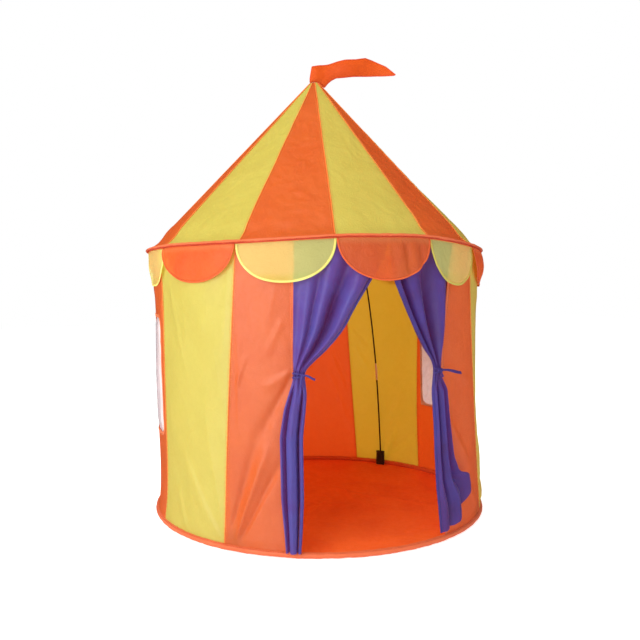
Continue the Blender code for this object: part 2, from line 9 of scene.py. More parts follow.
import bpy
import numpy as np
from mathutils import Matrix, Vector


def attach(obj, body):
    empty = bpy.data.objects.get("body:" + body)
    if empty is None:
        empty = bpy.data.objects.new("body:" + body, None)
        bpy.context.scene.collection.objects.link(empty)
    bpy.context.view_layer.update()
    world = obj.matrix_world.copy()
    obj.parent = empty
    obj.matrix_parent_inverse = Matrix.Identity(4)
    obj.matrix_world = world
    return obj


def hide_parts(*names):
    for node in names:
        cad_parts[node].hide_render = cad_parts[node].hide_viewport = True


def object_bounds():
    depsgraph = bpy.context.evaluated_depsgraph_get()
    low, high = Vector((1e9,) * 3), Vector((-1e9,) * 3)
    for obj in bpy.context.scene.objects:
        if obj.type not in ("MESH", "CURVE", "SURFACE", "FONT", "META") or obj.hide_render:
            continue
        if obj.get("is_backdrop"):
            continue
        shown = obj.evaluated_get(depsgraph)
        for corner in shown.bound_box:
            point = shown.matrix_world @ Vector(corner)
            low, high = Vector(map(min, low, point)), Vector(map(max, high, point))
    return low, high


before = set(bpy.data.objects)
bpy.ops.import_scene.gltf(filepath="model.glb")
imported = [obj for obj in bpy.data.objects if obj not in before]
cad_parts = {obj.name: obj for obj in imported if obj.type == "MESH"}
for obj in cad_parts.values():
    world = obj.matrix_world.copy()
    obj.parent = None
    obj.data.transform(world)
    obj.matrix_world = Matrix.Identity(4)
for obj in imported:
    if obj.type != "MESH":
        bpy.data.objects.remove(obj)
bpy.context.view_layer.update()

# Values repeated from the part
PANEL = 30.0
GAP = 0.0003
EAVE_HEIGHT = 0.7378
EAVE_RADIUS = 0.478
BASE_TUBE = 0.007
APEX_HEIGHT = 1.240
BASE_RADIUS = 0.471
WALL_FOOT = 0.0143
WALL_TOP = 0.7317
WALL_HEIGHT = WALL_TOP - WALL_FOOT
WALL_FOOT_RADIUS = 0.472
WALL_TOP_RADIUS = 0.4755
WALL_SAG = 0.018
CLOTH = 0.002
LEAN = np.array([-0.0130, 0.0055, 0.0])
LEAN_START = 0.06
# Waves of the eave hoop: rise, azimuth and reach in degrees. The last three, low droops over the
# doorway and at both sides, are only here.
EAVE_WAVES = (
    (0.0165, 4.0, 31.0), (0.0075, -12.0, 62.0), (-0.0030, -1.0, 8.0), (-0.0042, 54.0, 14.0),
    (-0.0036, -101.0, 14.0),
)
# Heights from which the cloth follows those waves, follows them in full, and less and less
LIFT_START, LIFT_FULL, LIFT_FADES = 0.55, 0.72, 0.75
POLE_REACH = 22.0
WALL_BOW = 0.009
WALL_BOW_AZIMUTH = -112.0
DOOR_EDGE_LEFT = -27.7
# The doorway's right edge at the floor, at the height where the curtain pulls it in, and at the top
DOOR_EDGE_RIGHT = (20.0, 21.3, 24.9)
DOOR_PULL_HEIGHT = 0.5
POLES = {"front_left": -48.0, "front_right": 44.0, "back_right": 129.4, "back_left": -135.0}
POLE_FOOT_RADIUS = 0.4558
POLE_ROUTE = (
    (0.4558, 0.0068), (0.4558, 0.056), (0.4475, 0.180), (0.4350, 0.306), (0.4275, 0.366),
    (0.4005, 0.500), (0.3640, 0.630), (0.3080, 0.760), (0.2320, 0.890), (0.1510, 1.005),
    (0.0740, 1.098), (0.0224, 1.1476),
)
# Degrees by which the seam after a panel stands off its even place: in the wall at the floor and at
# the eaves, between the scallops and in the roof
SEAM_OFFSETS = {
    "front": (0.0, 0.0, -1.1, -1.7), "front_right_1": (5.0, -8.5, -7.7, -10.0), "front_right_2": (2.0, 0.0, 0.0, 0.0),
    "right": (6.2, 3.4, 0.0, 0.0), "back_right_1": (6.1, 10.8, 0.0, 0.0), "back_right_2": (3.0, 3.0, 0.0, 0.0),
    "back": (0.0, 0.0, 0.0, 0.0), "back_left_2": (-3.5, -3.5, 0.0, 0.0), "back_left_1": (-7.0, -7.0, 0.0, 0.0),
    "left": (-9.0, -6.0, -0.5, 0.0), "front_left_2": (-6.5, 0.1, 0.3, 1.6), "front_left_1": (0.0, 0.0, -0.7, -1.0),
}
SCALLOPS, ROOF = 2, 3
PLACES = tuple(SEAM_OFFSETS)
WINDOWS = {"left": -96.5, "right": 96.5}
WINDOW_HALF_WIDTH = 0.088
WINDOW_LOW = 0.240
WINDOW_HIGH = 0.555
WINDOW_CORNER = 0.025
WINDOW_MIDDLE = (WINDOW_LOW + WINDOW_HIGH) / 2
WINDOW_HALF_HEIGHT = (WINDOW_HIGH - WINDOW_LOW) / 2
SCALLOP_FOOT = 0.642
SCALLOP_TOP = 0.7345
YELLOW_SCALLOP_RADIUS = 0.4768
ORANGE_SCALLOP_RADIUS = 0.4786


def place_azimuth(place):
    """Return the azimuth of the middle of a panel, in degrees."""
    azimuth = PLACES.index(place) * PANEL
    return azimuth - 360 if azimuth > 180 else azimuth


def direction(azimuth, outward=1.0, upward=0.0):
    """Return the vectors that point outward at these azimuths in degrees and upward."""
    turn = np.radians(azimuth)
    parts = np.broadcast_arrays(outward * np.sin(turn), -outward * np.cos(turn), upward)
    return np.stack(parts, axis=-1).astype(float)


def share_between(low, high, value):
    """Return how far a value lies from low to high, from 0 to 1."""
    return np.clip((value - low) / (high - low), 0, 1)


def standing(azimuth, radius, height):
    """Return the points at these azimuths, radii and heights on the leaning tent, as in the part."""
    share = share_between(LEAN_START, EAVE_HEIGHT, height)
    return direction(azimuth, radius, height) + LEAN * np.asarray(share)[..., None]


def eave_lift(azimuth):
    """Return how much higher the eave hoop stands than its own height, as in the part."""
    return sum(rise * np.exp(-(turn_between(azimuth, place) / reach) ** 2) for rise, place, reach in EAVE_WAVES)


def at(azimuth, radius, height):
    """Return the points of the cloth, which is lifted with the eave hoop near it, as in the part."""
    below = share_between(LIFT_START, LIFT_FULL, height)
    above = share_between(APEX_HEIGHT, LIFT_FADES, height)
    points = standing(azimuth, radius, height)
    points[..., 2] += eave_lift(azimuth) * np.minimum(below, above)
    return points


def smooth(share):
    """Ease a share from 0 to 1."""
    share = np.clip(share, 0.0, 1.0)
    return share * share * (3 - 2 * share)


def noise(x, y, seed):
    """Return smooth random values from -1 to 1, one lattice point a unit."""
    table = np.random.default_rng(seed).random((64, 64)) * 2 - 1
    x, y = np.broadcast_arrays(np.asarray(x, float), np.asarray(y, float))
    left, low = np.floor(x).astype(int), np.floor(y).astype(int)
    across, up = smooth(x - left), smooth(y - low)
    low_row, high_row = (
        table[left % 64, row % 64] * (1 - across) + table[(left + 1) % 64, row % 64] * across
        for row in (low, low + 1)
    )
    return low_row * (1 - up) + high_row * up


def rough(x, y, seed, octaves=3):
    """Return noise with finer noise added to it."""
    return sum(noise(x * 2 ** n, y * 2 ** n, seed + n) / 2 ** n for n in range(octaves))


def crumple(x, y, seed):
    """Return the sharp crossing ridges of creased nylon, from about -1 to 1."""
    bend_x = x + 0.6 * noise(x * 0.7, y * 0.7, seed + 7)
    bend_y = y + 0.6 * noise(x * 0.7 + 9, y * 0.7, seed + 8)
    first = 1 - 2 * np.abs(noise(bend_x + bend_y * 0.6, bend_y - bend_x * 0.3, seed))
    second = 1 - 2 * np.abs(noise(bend_x * 1.9 - bend_y, bend_y * 1.9 + bend_x, seed + 1))
    return 0.65 * first + 0.35 * second


def ridge(along, up, start, end, start_width, end_width, height, lean=1.0):
    """Return a fold from start to end, soft at both ends, whose left side is lean times as wide."""
    start, end = np.array(start), np.array(end)
    way = end - start
    length = math.hypot(*way)
    share = ((along - start[0]) * way[0] + (up - start[1]) * way[1]) / length ** 2
    aside = ((along - start[0]) * way[1] - (up - start[1]) * way[0]) / length
    width = start_width + (end_width - start_width) * np.clip(share, 0, 1)
    width = width * np.where(aside < 0, lean, 1.0)
    fade = smooth((share + 0.12) / 0.3) * smooth((1.12 - share) / 0.4)
    return height * fade * np.exp(-(aside / width) ** 2)


def turn_between(first, second):
    """Return the smallest angle between azimuths, in degrees."""
    return np.abs((first - second + 180) % 360 - 180)


def pole_nearness(azimuth):
    """Return 1 at a pole, falling smoothly to nearly 0 midway between two poles."""
    near = [np.exp(-(turn_between(azimuth, pole) / POLE_REACH) ** 2) for pole in POLES.values()]
    return np.max(near, axis=0)


def wall_share(height):
    """Return how far up the wall a height is: 0 at its foot and 1 at its top."""
    return (height - WALL_FOOT) / WALL_HEIGHT


def wall_turn(along):
    """Return the degrees that a distance along the wall takes."""
    return np.degrees(along / WALL_FOOT_RADIUS)


def wall_radius(azimuth, height):
    """Return the radius of the wall's outer face, as in the part."""
    share = wall_share(height)
    sag = WALL_SAG * (1 - pole_nearness(azimuth)) * (1 - (2 * share - 1) ** 4)
    bow = WALL_BOW * np.sin(math.pi * share) * np.cos(np.radians(azimuth - WALL_BOW_AZIMUTH))
    return WALL_FOOT_RADIUS + (WALL_TOP_RADIUS - WALL_FOOT_RADIUS) * share - sag + bow


def place_before(place):
    """Return the place to the left of a place, as seen from outside."""
    return PLACES[PLACES.index(place) - 1]


def seam_azimuth(place, height):
    """Return the azimuth of the wall seam after a panel at these heights, as in the part."""
    foot, top = SEAM_OFFSETS[place][:2]
    return place_azimuth(place) + PANEL / 2 + foot + (top - foot) * np.clip(wall_share(height), 0, 1)


def panel_span(place, layer):
    """Return the azimuth of the middle of a scallop or a gore and half its width, in degrees."""
    low, high = (
        place_azimuth(one) + PANEL / 2 + SEAM_OFFSETS[one][layer] for one in (place_before(place), place)
    )
    low = low - 360 if low > high else low
    return (low + high) / 2, (high - low) / 2


# Meshes. A shape is a list of points, one of faces and one of UVs.
def grid(rows, columns, first=0.0):
    """Return a grid of shares: from 0 to 1 row by row, and from first to 1 across each row."""
    return np.meshgrid(np.linspace(0, 1, rows), np.linspace(first, 1, columns), indexing="ij")


def grid_faces(rows, columns, wrap=False):
    """Return the quads of a grid of points stored row by row, each row closed on itself with wrap."""
    last = columns if wrap else columns - 1
    row, column = np.meshgrid(np.arange(rows - 1), np.arange(last), indexing="ij")
    here, following = row * columns + column, row * columns + (column + 1) % columns
    return np.stack([here, following, following + columns, here + columns], axis=-1).reshape(-1, 4)


def sheet_shape(points, u, v, faces=None):
    """Return the shape of a grid of points, with these faces or its quads."""
    uv = np.stack(np.broadcast_arrays(u, v), axis=-1).reshape(-1, 2)
    return points.reshape(-1, 3), grid_faces(*points.shape[:2]) if faces is None else faces, uv


def tube_shape(points, u, v, closed=False, caps=2):
    """Return the shape of a row of rings: closed on itself, or with caps on its first and last ring."""
    rings, count = points.shape[:2]
    faces = (grid_faces(rings + closed, count, wrap=True) % (rings * count)).tolist()
    ends = [list(range(count))[::-1], list(range((rings - 1) * count, rings * count))]
    return sheet_shape(points, u, v, faces if closed else faces + ends[:caps])


def add_piece(name, shape, materials, slot="orange_cloth", nodes=(), face_materials=None):
    """Make a mesh piece that rides on the tent's one body and stands for these nodes."""
    points, faces, uv = shape
    mesh = bpy.data.meshes.new(name)
    mesh.from_pydata(points.tolist(), [], [list(map(int, face)) for face in faces])
    corners = np.empty(len(mesh.loops), int)
    mesh.loops.foreach_get("vertex_index", corners)
    mesh.uv_layers.new(name="cloth").data.foreach_set("uv", uv[corners].ravel())
    for material in materials if isinstance(materials, list) else [materials]:
        mesh.materials.append(material)
    if face_materials is not None:
        mesh.polygons.foreach_set("material_index", np.asarray(face_materials, int))
    mesh.shade_smooth()
    piece = bpy.data.objects.new(name, mesh)
    bpy.context.scene.collection.objects.link(piece)
    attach(piece, "root")
    if nodes:
        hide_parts(*nodes)
    return piece


def unit(vectors):
    """Return vectors with the length one."""
    return vectors / np.linalg.norm(vectors, axis=-1, keepdims=True)


def ring(points):
    """Return a line that ends where it starts."""
    return np.concatenate([points, points[:1]])


def lengths(path):
    """Return the way along a path to each of its points."""
    return np.concatenate([[0], np.cumsum(np.linalg.norm(np.diff(path, axis=0), axis=1))])


def sampled(spots, far, path):
    """Return the points of a path at these spots, where far is the place of each of its points."""
    return np.stack([np.interp(spots, far, column) for column in path.T], axis=1)


def evenly(path, count):
    """Return points at even distances round a closed path."""
    far = lengths(ring(path))
    return sampled(np.linspace(0, far[-1], count, endpoint=False), far, ring(path))


def sweep(path, normals, profile, closed=False, scale=1.0):
    """Return the shape of a closed profile (side, up) carried along a path."""
    way = unit(np.roll(path, -1, axis=0) - np.roll(path, 1, axis=0) if closed else np.gradient(path, axis=0))
    side = unit(np.cross(way, normals))
    up = np.cross(side, way)
    profile = profile * np.broadcast_to(scale, len(path))[:, None, None]
    points = path[:, None] + profile[..., :1] * side[:, None] + profile[..., 1:] * up[:, None]
    count = profile.shape[1]
    round_it = np.arange(count) / count * 2 * math.pi * np.abs(profile[0]).max()
    return tube_shape(points, lengths(path)[:, None], round_it, closed)


def joined(shapes):
    """Join several shapes into one."""
    points, faces, uvs, first = [], [], [], 0
    for part_points, part_faces, part_uv in shapes:
        points.append(part_points)
        uvs.append(part_uv)
        faces += [[first + int(corner) for corner in face] for face in part_faces]
        first += len(part_points)
    return np.concatenate(points), faces, np.concatenate(uvs)


def oval(half_width, half_height, count, power=2.0):
    """Return a closed oval profile."""
    turn = np.arange(count) / count * 2 * math.pi
    cosine, sine = np.cos(turn), np.sin(turn)
    across = half_width * np.sign(cosine) * np.abs(cosine) ** (2 / power)
    upward = half_height * np.sign(sine) * np.abs(sine) ** (2 / power)
    return np.stack([across, upward], axis=1)


def stitch_run(path, normals, pitch=0.0042, length=0.0030, width=0.00055, rise=0.0005):
    """Return the shape of a row of stitches along a path: small long beads, lying on the surface."""
    far = lengths(path)
    spots = np.arange(pitch / 2, far[-1], pitch)
    middle = sampled(spots, far, path)
    normal = unit(sampled(spots, far, np.broadcast_to(normals, path.shape)))
    way = sampled(spots + pitch / 4, far, path) - middle
    way[-1] = way[-2]
    way = unit(way)
    side = np.cross(way, normal)
    beads = np.stack([
        middle - way * length / 2,
        middle + side * width, middle + normal * rise, middle - side * width, middle - normal * rise,
        middle + way * length / 2,
    ], axis=1)
    bead = np.array([[0, 2, 1], [0, 3, 2], [0, 4, 3], [0, 1, 4], [5, 1, 2], [5, 2, 3], [5, 3, 4], [5, 4, 1]])
    faces = (np.arange(len(spots))[:, None, None] * 6 + bead[None]).reshape(-1, 3)
    points = beads.reshape(-1, 3)
    return points, faces.tolist(), points[:, :2]


# Materials
def add_node(tree, kind, inputs, **values):
    """Add a node, set its values and its inputs, each to a value or a link from a socket."""
    made = tree.nodes.new(kind)
    for name, value in values.items():
        setattr(made, name, value)
    for name, value in inputs.items():
        socket = made.inputs[name]
        if isinstance(value, bpy.types.NodeSocket):
            tree.links.new(value, socket)
        else:
            socket.default_value = (*value, 1) if socket.type == "RGBA" else value
    return made


def new_material(name):
    """Return a material and its empty tree."""
    material = bpy.data.materials.new(name)
    material.use_nodes = True
    material.node_tree.nodes.clear()
    return material, material.node_tree


def finished(material, shader):
    """Give a material its shader and return it."""
    output = material.node_tree.nodes.new("ShaderNodeOutputMaterial")
    material.node_tree.links.new(shader, output.inputs[0])
    return material


def coordinates(tree, kind="Object"):
    """Return texture coordinates: a kind is Object or UV."""
    return add_node(tree, "ShaderNodeTexCoord", {}).outputs[kind]


def maths(tree, operation, *terms):
    """Add a calculation and return its result."""
    return add_node(tree, "ShaderNodeMath", dict(enumerate(terms)), operation=operation).outputs[0]


def map_range(tree, value, low, high, to_low=0.0, to_high=1.0):
    """Map a value from one range to another and return it."""
    made = add_node(
        tree, "ShaderNodeMapRange",
        {"Value": value, "From Min": low, "From Max": high, "To Min": to_low, "To Max": to_high},
        interpolation_type="SMOOTHSTEP",
    )
    return made.outputs["Result"]


def mix_colour(tree, factor, first, second):
    """Mix two colours and return the result."""
    return add_node(tree, "ShaderNodeMix", {0: factor, 6: first, 7: second}, data_type="RGBA").outputs[2]


def noise_texture(tree, where, scale, detail=3.0, roughness=0.55, distortion=0.0):
    """Add a noise texture and return its value."""
    made = add_node(
        tree, "ShaderNodeTexNoise",
        {"Vector": where, "Scale": scale, "Detail": detail, "Roughness": roughness, "Distortion": distortion},
    )
    return made.outputs["Fac"]


def wave_texture(tree, where, scale, axis, **more):
    """Add bands across an axis and return their value."""
    inputs = {"Vector": where, "Scale": scale, **more}
    return add_node(tree, "ShaderNodeTexWave", inputs, bands_direction=axis).outputs["Fac"]


def bumped(tree, height, strength, distance, **more):
    """Return the normals of a surface with this height on it."""
    inputs = {"Height": height, "Strength": strength, "Distance": distance, **more}
    return add_node(tree, "ShaderNodeBump", inputs).outputs[0]


def skin(tree, colour, roughness, normal, more):
    """Return the shader of an opaque surface."""
    inputs = {"Base Color": colour, "Roughness": roughness, "Normal": normal, **more}
    return add_node(tree, "ShaderNodeBsdfPrincipled", inputs).outputs[0]


def mix_shaders(tree, factor, first, second):
    """Mix two shaders and return the result."""
    return add_node(tree, "ShaderNodeMixShader", {0: factor, 1: first, 2: second}).outputs[0]


def clear(tree, colour):
    """Return the shader of a see-through colour."""
    return add_node(tree, "ShaderNodeBsdfTransparent", {"Color": colour}).outputs[0]


THREAD_PITCH = 0.0009


def cloth(name, light, dark, translucence, roughness=0.5, sheen=0.0, see_through=0.0, see_colour=None,
          specular=0.4, coat=0.0, crinkle=0.35, second_layer=None, through=None):
    """Return a thin nylon cloth: plain weave, crinkles, uneven colour and light that shines through.

    second_layer is (UV height, height of the wave, colour), for cloth that is double above a wavy line.
    through is the colour that the cloth gives to the light that passes it."""
    material, tree = new_material(name)
    uv, where = coordinates(tree, "UV"), coordinates(tree)
    blotch = map_range(tree, noise_texture(tree, where, 7.0, 4.0, 0.6, 0.8), 0.35, 0.7)
    colour = mix_colour(tree, blotch, light, dark)
    fine = map_range(tree, noise_texture(tree, where, 70.0, 5.0, 0.7), 0.3, 0.75)
    colour = mix_colour(tree, maths(tree, "MULTIPLY", fine, 0.2), colour, [part * 0.86 for part in dark])
    if second_layer is not None:
        line, wave, over = second_layer
        height = add_node(tree, "ShaderNodeSeparateXYZ", {0: uv}).outputs["Y"]
        edge = maths(tree, "MULTIPLY_ADD", noise_texture(tree, uv, 22.0, 2.0), wave, line - wave / 2)
        above = map_range(tree, maths(tree, "SUBTRACT", height, edge), -0.008, 0.008)
        colour = mix_colour(tree, above, colour, over)
    bands = [wave_texture(tree, uv, 0.314 / THREAD_PITCH, axis, Distortion=0.6, Detail=1.0) for axis in "XY"]
    folds = noise_texture(tree, where, 42.0, 5.0, 0.62, 1.6)
    folds = maths(tree, "ABSOLUTE", maths(tree, "SUBTRACT", folds, 0.5))
    coarse = bumped(tree, folds, crinkle, 0.006)
    normal = bumped(tree, maths(tree, "MAXIMUM", *bands), 0.25, 0.0002, Normal=coarse)
    gloss = map_range(tree, fine, 0.0, 1.0, roughness - 0.06, roughness + 0.08)
    shader = skin(tree, colour, gloss, normal, {
        "Sheen Weight": sheen, "Sheen Roughness": 0.4, "Specular IOR Level": specular, "Coat Weight": coat,
        "Coat Roughness": 0.42,
    })
    passed = {"Color": through or colour, "Normal": normal}
    shader = mix_shaders(
        tree, translucence, shader, add_node(tree, "ShaderNodeBsdfTranslucent", passed).outputs[0]
    )
    if see_through:
        shader = mix_shaders(tree, see_through, shader, clear(tree, see_colour))
    return finished(material, shader)


def plain(name, colour, other, roughness, scale, metallic=0.0, bump=0.2, stretch=(1, 1, 1)):
    """Return a hard or threaded surface whose colour, gloss and height vary with noise."""
    material, tree = new_material(name)
    where = add_node(tree, "ShaderNodeMapping", {"Vector": coordinates(tree), "Scale": stretch}).outputs[0]
    grain = noise_texture(tree, where, scale, 5.0, 0.6)
    colour = mix_colour(tree, map_range(tree, grain, 0.3, 0.7), colour, other)
    gloss = map_range(tree, grain, 0.3, 0.7, roughness - 0.05, roughness + 0.1)
    return finished(
        material, skin(tree, colour, gloss, bumped(tree, grain, bump, 0.0005), {"Metallic": metallic})
    )


def webbing_material():
    """Return the black ribbed webbing of the foot pockets."""
    material, tree = new_material("webbing")
    ribs = wave_texture(tree, coordinates(tree, "UV"), 160.0, "Y")
    cross = wave_texture(tree, coordinates(tree, "UV"), 260.0, "X")
    normal = bumped(tree, maths(tree, "MULTIPLY_ADD", cross, 0.4, ribs), 0.6, 0.0006)
    colour = mix_colour(tree, ribs, (0.006, 0.006, 0.007), (0.020, 0.020, 0.022))
    return finished(material, skin(tree, colour, 0.75, normal, {"Sheen Weight": 0.3, "Sheen Roughness": 0.5}))


def film_material(name, light, dark):
    """Return the milky clear film of a window."""
    material, tree = new_material(name)
    waves = noise_texture(tree, coordinates(tree), 17.0, 4.0, 0.6, 1.8)
    colour = mix_colour(tree, map_range(tree, waves, 0.35, 0.75), light, dark)
    shader = skin(tree, colour, 0.16, bumped(tree, waves, 0.7, 0.006), {"Specular IOR Level": 0.7})
    return finished(material, mix_shaders(tree, 0.20, shader, clear(tree, (0.93, 0.92, 0.93))))


ORANGE = cloth(
    "orange_nylon", (0.73, 0.150, 0.014), (0.69, 0.130, 0.011), 0.34, specular=1.0, coat=0.4,
    through=(0.95, 0.100, 0.010),
)
YELLOW = cloth(
    "yellow_nylon", (0.645, 0.640, 0.105), (0.610, 0.600, 0.092), 0.34, specular=1.0, coat=0.4,
    through=(0.80, 0.450, 0.022),
)
# The orange scallops' lighter, pinker band at the top stands for the cloth being double there, and is partly a
# painted sheen.
ORANGE_SCALLOP = cloth(
    "orange_scallop_nylon", (0.90, 0.160, 0.024), (0.82, 0.110, 0.016), 0.34,
    second_layer=(-0.012, 0.010, (0.88, 0.215, 0.055)), through=(0.92, 0.100, 0.010),
    see_through=0.19, see_colour=(1.0, 0.62, 0.22), specular=0.8, crinkle=0.6,
)
YELLOW_SCALLOP = cloth(
    "yellow_scallop_nylon", (0.84, 0.93, 0.29), (0.77, 0.84, 0.19), 0.36,
    second_layer=(-0.074, 0.012, (0.90, 0.90, 0.30)), see_through=0.42, see_colour=(1.0, 0.98, 0.42),
    through=(0.80, 0.62, 0.08), crinkle=0.7,
)
# A darker copy of the yellow binding: painted shade for the binding of scallop 1, which lies in shade.
PAINTED_SHADE_BINDING = cloth("painted_shade_binding", (0.60, 0.52, 0.10), (0.52, 0.44, 0.08), 0.20, crinkle=0.15)
YELLOW_BINDING = cloth("yellow_binding", (0.86, 0.82, 0.24), (0.80, 0.75, 0.18), 0.20, crinkle=0.15)
ORANGE_BINDING = cloth("orange_binding", (0.80, 0.140, 0.030), (0.74, 0.110, 0.022), 0.22, crinkle=0.2)
FLOOR_CLOTH = cloth(
    "floor_nylon", (0.95, 0.155, 0.026), (0.88, 0.120, 0.020), 0.05, roughness=0.6, sheen=0.02, specular=0.2,
    crinkle=0.5,
)
# The left curtain takes a lighter copy of the purple, painted light for the lamp that falls on it; the right curtain
# and the ties take the darker one.
PURPLE, LIT_PURPLE = (
    cloth(
        name, light, dark, 0.25, roughness=0.42, sheen=0.06, specular=0.35, crinkle=0.2,
        through=(0.30, 0.060, 0.32),
    )
    for name, light, dark in (
        ("purple_nylon", (0.060, 0.046, 0.270), (0.060, 0.036, 0.200)),
        ("lit_purple_nylon", (0.086, 0.078, 0.350), (0.098, 0.050, 0.275)),
    )
)
FLAG_CLOTH = cloth(
    "flag_nylon", (0.66, 0.090, 0.009), (0.60, 0.072, 0.006), 0.15, sheen=0.02, specular=0.15, crinkle=0.3
)
EDGE_CORD = cloth("edge_cord", (0.66, 0.055, 0.014), (0.55, 0.040, 0.010), 0.05, sheen=0.3, crinkle=0.1)
SEAM_CORD = cloth("seam_cord", (0.86, 0.24, 0.035), (0.80, 0.20, 0.028), 0.1, sheen=0.1, crinkle=0.1)
HEM_CLOTH = cloth("hem_nylon", (0.80, 0.170, 0.060), (0.74, 0.140, 0.045), 0.15, sheen=0.1, crinkle=0.3)
EAVE_CLOTH = cloth("eave_hem_nylon", (0.82, 0.175, 0.062), (0.75, 0.140, 0.045), 0.15, sheen=0.02, crinkle=0.3)
# Dark red cord cloth: painted shade for the shadow gap under the eave hem
PAINTED_SHADE_CORD = cloth("painted_shade_cord_cloth", (0.56, 0.040, 0.012), (0.48, 0.030, 0.009), 0.05, crinkle=0.1)
RED_THREAD = plain("red_thread", (0.45, 0.025, 0.008), (0.30, 0.015, 0.006), 0.6, 900.0)
PALE_THREAD = plain("pale_thread", (0.90, 0.40, 0.09), (0.80, 0.30, 0.06), 0.6, 900.0)
ROD = plain("black_rod", (0.010, 0.010, 0.010), (0.022, 0.020, 0.018), 0.30, 260.0, stretch=(1, 1, 0.05), bump=0.1)
METAL = plain(
    "pale_metal", (0.86, 0.85, 0.82), (0.70, 0.69, 0.66), 0.34, 400.0, metallic=0.35, stretch=(1, 1, 0.1), bump=0.1
)
GREY_PLASTIC = plain("moulded_plastic", (0.21, 0.21, 0.22), (0.26, 0.26, 0.27), 0.42, 300.0, bump=0.25)
WEBBING = webbing_material()
# Lit and shaded copies of one film: the left one painted pale as a painted reflection of the white surroundings, the
# right one painted darker as painted shade.
FILMS = {
    "left": film_material("painted_light_window_film", (0.80, 0.72, 0.76), (0.74, 0.66, 0.70)),
    "right": film_material("painted_shade_window_film", (0.66, 0.52, 0.45), (0.53, 0.38, 0.31)),
}
PANEL_CLOTHS = ((YELLOW, "yellow_cloth"), (ORANGE, "orange_cloth"))


# Roof
ROOF_SLOPE = math.atan2(APEX_HEIGHT - EAVE_HEIGHT, EAVE_RADIUS)
ROOF_TOP_RADIUS = 0.0125
ROOF_FOOT_RADIUS = EAVE_RADIUS - 0.0035 * math.cos(ROOF_SLOPE)
# Strength of the creases of the gores whose creases differ from the others'
ROOF_STRENGTH = {"front_left_1": 1.5, "front": 0.8}


def roof_point(azimuth, radius, lift):
    """Return points on the cone, lifted square to it."""
    height = APEX_HEIGHT - radius * math.tan(ROOF_SLOPE)
    return at(azimuth, radius + lift * math.sin(ROOF_SLOPE), height + lift * math.cos(ROOF_SLOPE))


def roof_slant(radius):
    """Return the way down the roof from a radius to the eave hoop."""
    return (EAVE_RADIUS - radius) / math.cos(ROOF_SLOPE)


def drawn_in(slant):
    """Return how the roof is drawn in a little way above the eave hoop."""
    return -0.0042 * np.exp(-((slant - 0.034) / 0.026) ** 2)


ROOF_STITCHES_ASIDE = 0.0052


def add_gore(place):
    """Add one roof gore: taut cloth with crossing creases and a slight sag between its seams."""
    index = PLACES.index(place)
    middle, half = panel_span(place, ROOF)
    up, across = grid(130, 41, -1)
    radius = ROOF_FOOT_RADIUS + (ROOF_TOP_RADIUS - ROOF_FOOT_RADIUS) * up
    azimuth = middle + across * (half - np.degrees(GAP / 2 / radius))
    slant, width = roof_slant(radius), radius * np.radians(across * half)
    room = np.clip(radius / 0.16, 0, 1)
    off_seams = 1 - np.abs(across) ** 6
    free = room * off_seams
    sag = (1 - across ** 2) * room * np.sin(math.pi * np.clip(up * 1.05, 0, 1)) ** 0.6
    creases = crumple(width / 0.034, slant / 0.040, 20 + index)
    seam = np.exp(-(1 - np.abs(across)) * radius / 0.02) * (1 - across ** 8) * room
    puckers = np.sin(slant / 0.0135 * 2 * math.pi + 3 * noise(slant / 0.05, across, 90))
    gathers = np.exp(-slant / 0.012) * off_seams * noise(width / 0.012, 0 * up, 130 + index)
    lift = (
        -0.0045 * sag + 0.0013 * ROOF_STRENGTH.get(place, 1.0) * free * creases
        + 0.0009 * free * rough(width / 0.06, slant / 0.09, 60 + index) + drawn_in(slant)
        + 0.0007 * seam * puckers + 0.0010 * gathers
    )
    return add_piece(
        f"roof_cloth_{place}", sheet_shape(roof_point(azimuth, radius, lift), width, slant),
        *PANEL_CLOTHS[index % 2], [f"roof_gore_{place}"],
    )


def add_roof_seams():
    """Add the bound seams between the gores and their stitches."""
    cords, runs = [], []
    radius = np.linspace(ROOF_FOOT_RADIUS - 0.002, ROOF_TOP_RADIUS + 0.001, 90)
    drawn = drawn_in(roof_slant(radius))
    stitched = radius > 0.05  # nearer to the point the seams meet
    for number, place in enumerate(PLACES):
        azimuth = sum(panel_span(place, ROOF))
        outward = direction(azimuth, math.sin(ROOF_SLOPE), math.cos(ROOF_SLOPE))
        wave = 0.0007 * noise(radius / 0.03, number * 3.1, 5)
        path = roof_point(azimuth + np.degrees(wave / radius), radius, 0.0009 + drawn)
        cords.append(sweep(path, outward, oval(0.0015, 0.0010, 8)))
        for aside in (-ROOF_STITCHES_ASIDE, ROOF_STITCHES_ASIDE):
            line = roof_point(azimuth + np.degrees(aside / radius), radius, 0.0006 + drawn)
            runs.append(stitch_run(line[stitched], outward))
    return (
        add_piece("roof_seam_cord", joined(cords), SEAM_CORD), add_piece("roof_stitches", joined(runs), PALE_THREAD)
    )


# Hems
HEM_TURN = np.linspace(0, 360, 720, endpoint=False)
HEM_HEIGHT = 0.7391
EAVE_REACH, EAVE_RISE = 0.0072, 0.0044
BASE_HEM_HEIGHT = BASE_TUBE + 0.0009
BASE_REACH = BASE_TUBE + 0.0007


def hoop_hem(node, radius, height, reach, rise, material, wave, seed):
    """Add a hem, a gathered tube round its hoop, and return it and how it waves up and down."""
    turn, around = HEM_TURN[:, None], 16
    angle = np.arange(around) / around * 2 * math.pi
    far = turn / 360 * 2 * math.pi * radius
    gather = 0.00055 * noise(far / 0.0085, angle * 0.6, seed) + 0.0004 * noise(far / 0.03, 0 * far, seed + 1)
    gather = gather - 0.0007
    lift = wave * noise(HEM_TURN / 360 * 26, 0, seed + 2)
    lift[-20:] += (lift[0] - lift[-1]) * smooth(np.linspace(0, 1, 20))
    points = at(turn, radius + (reach + gather) * np.cos(angle), height + 0 * turn)
    points[..., 2] += (rise + gather) * np.sin(angle) + lift[:, None]
    return add_piece(
        f"{node}_cloth", tube_shape(points, far, angle * reach, closed=True), material, nodes=[node]
    ), lift


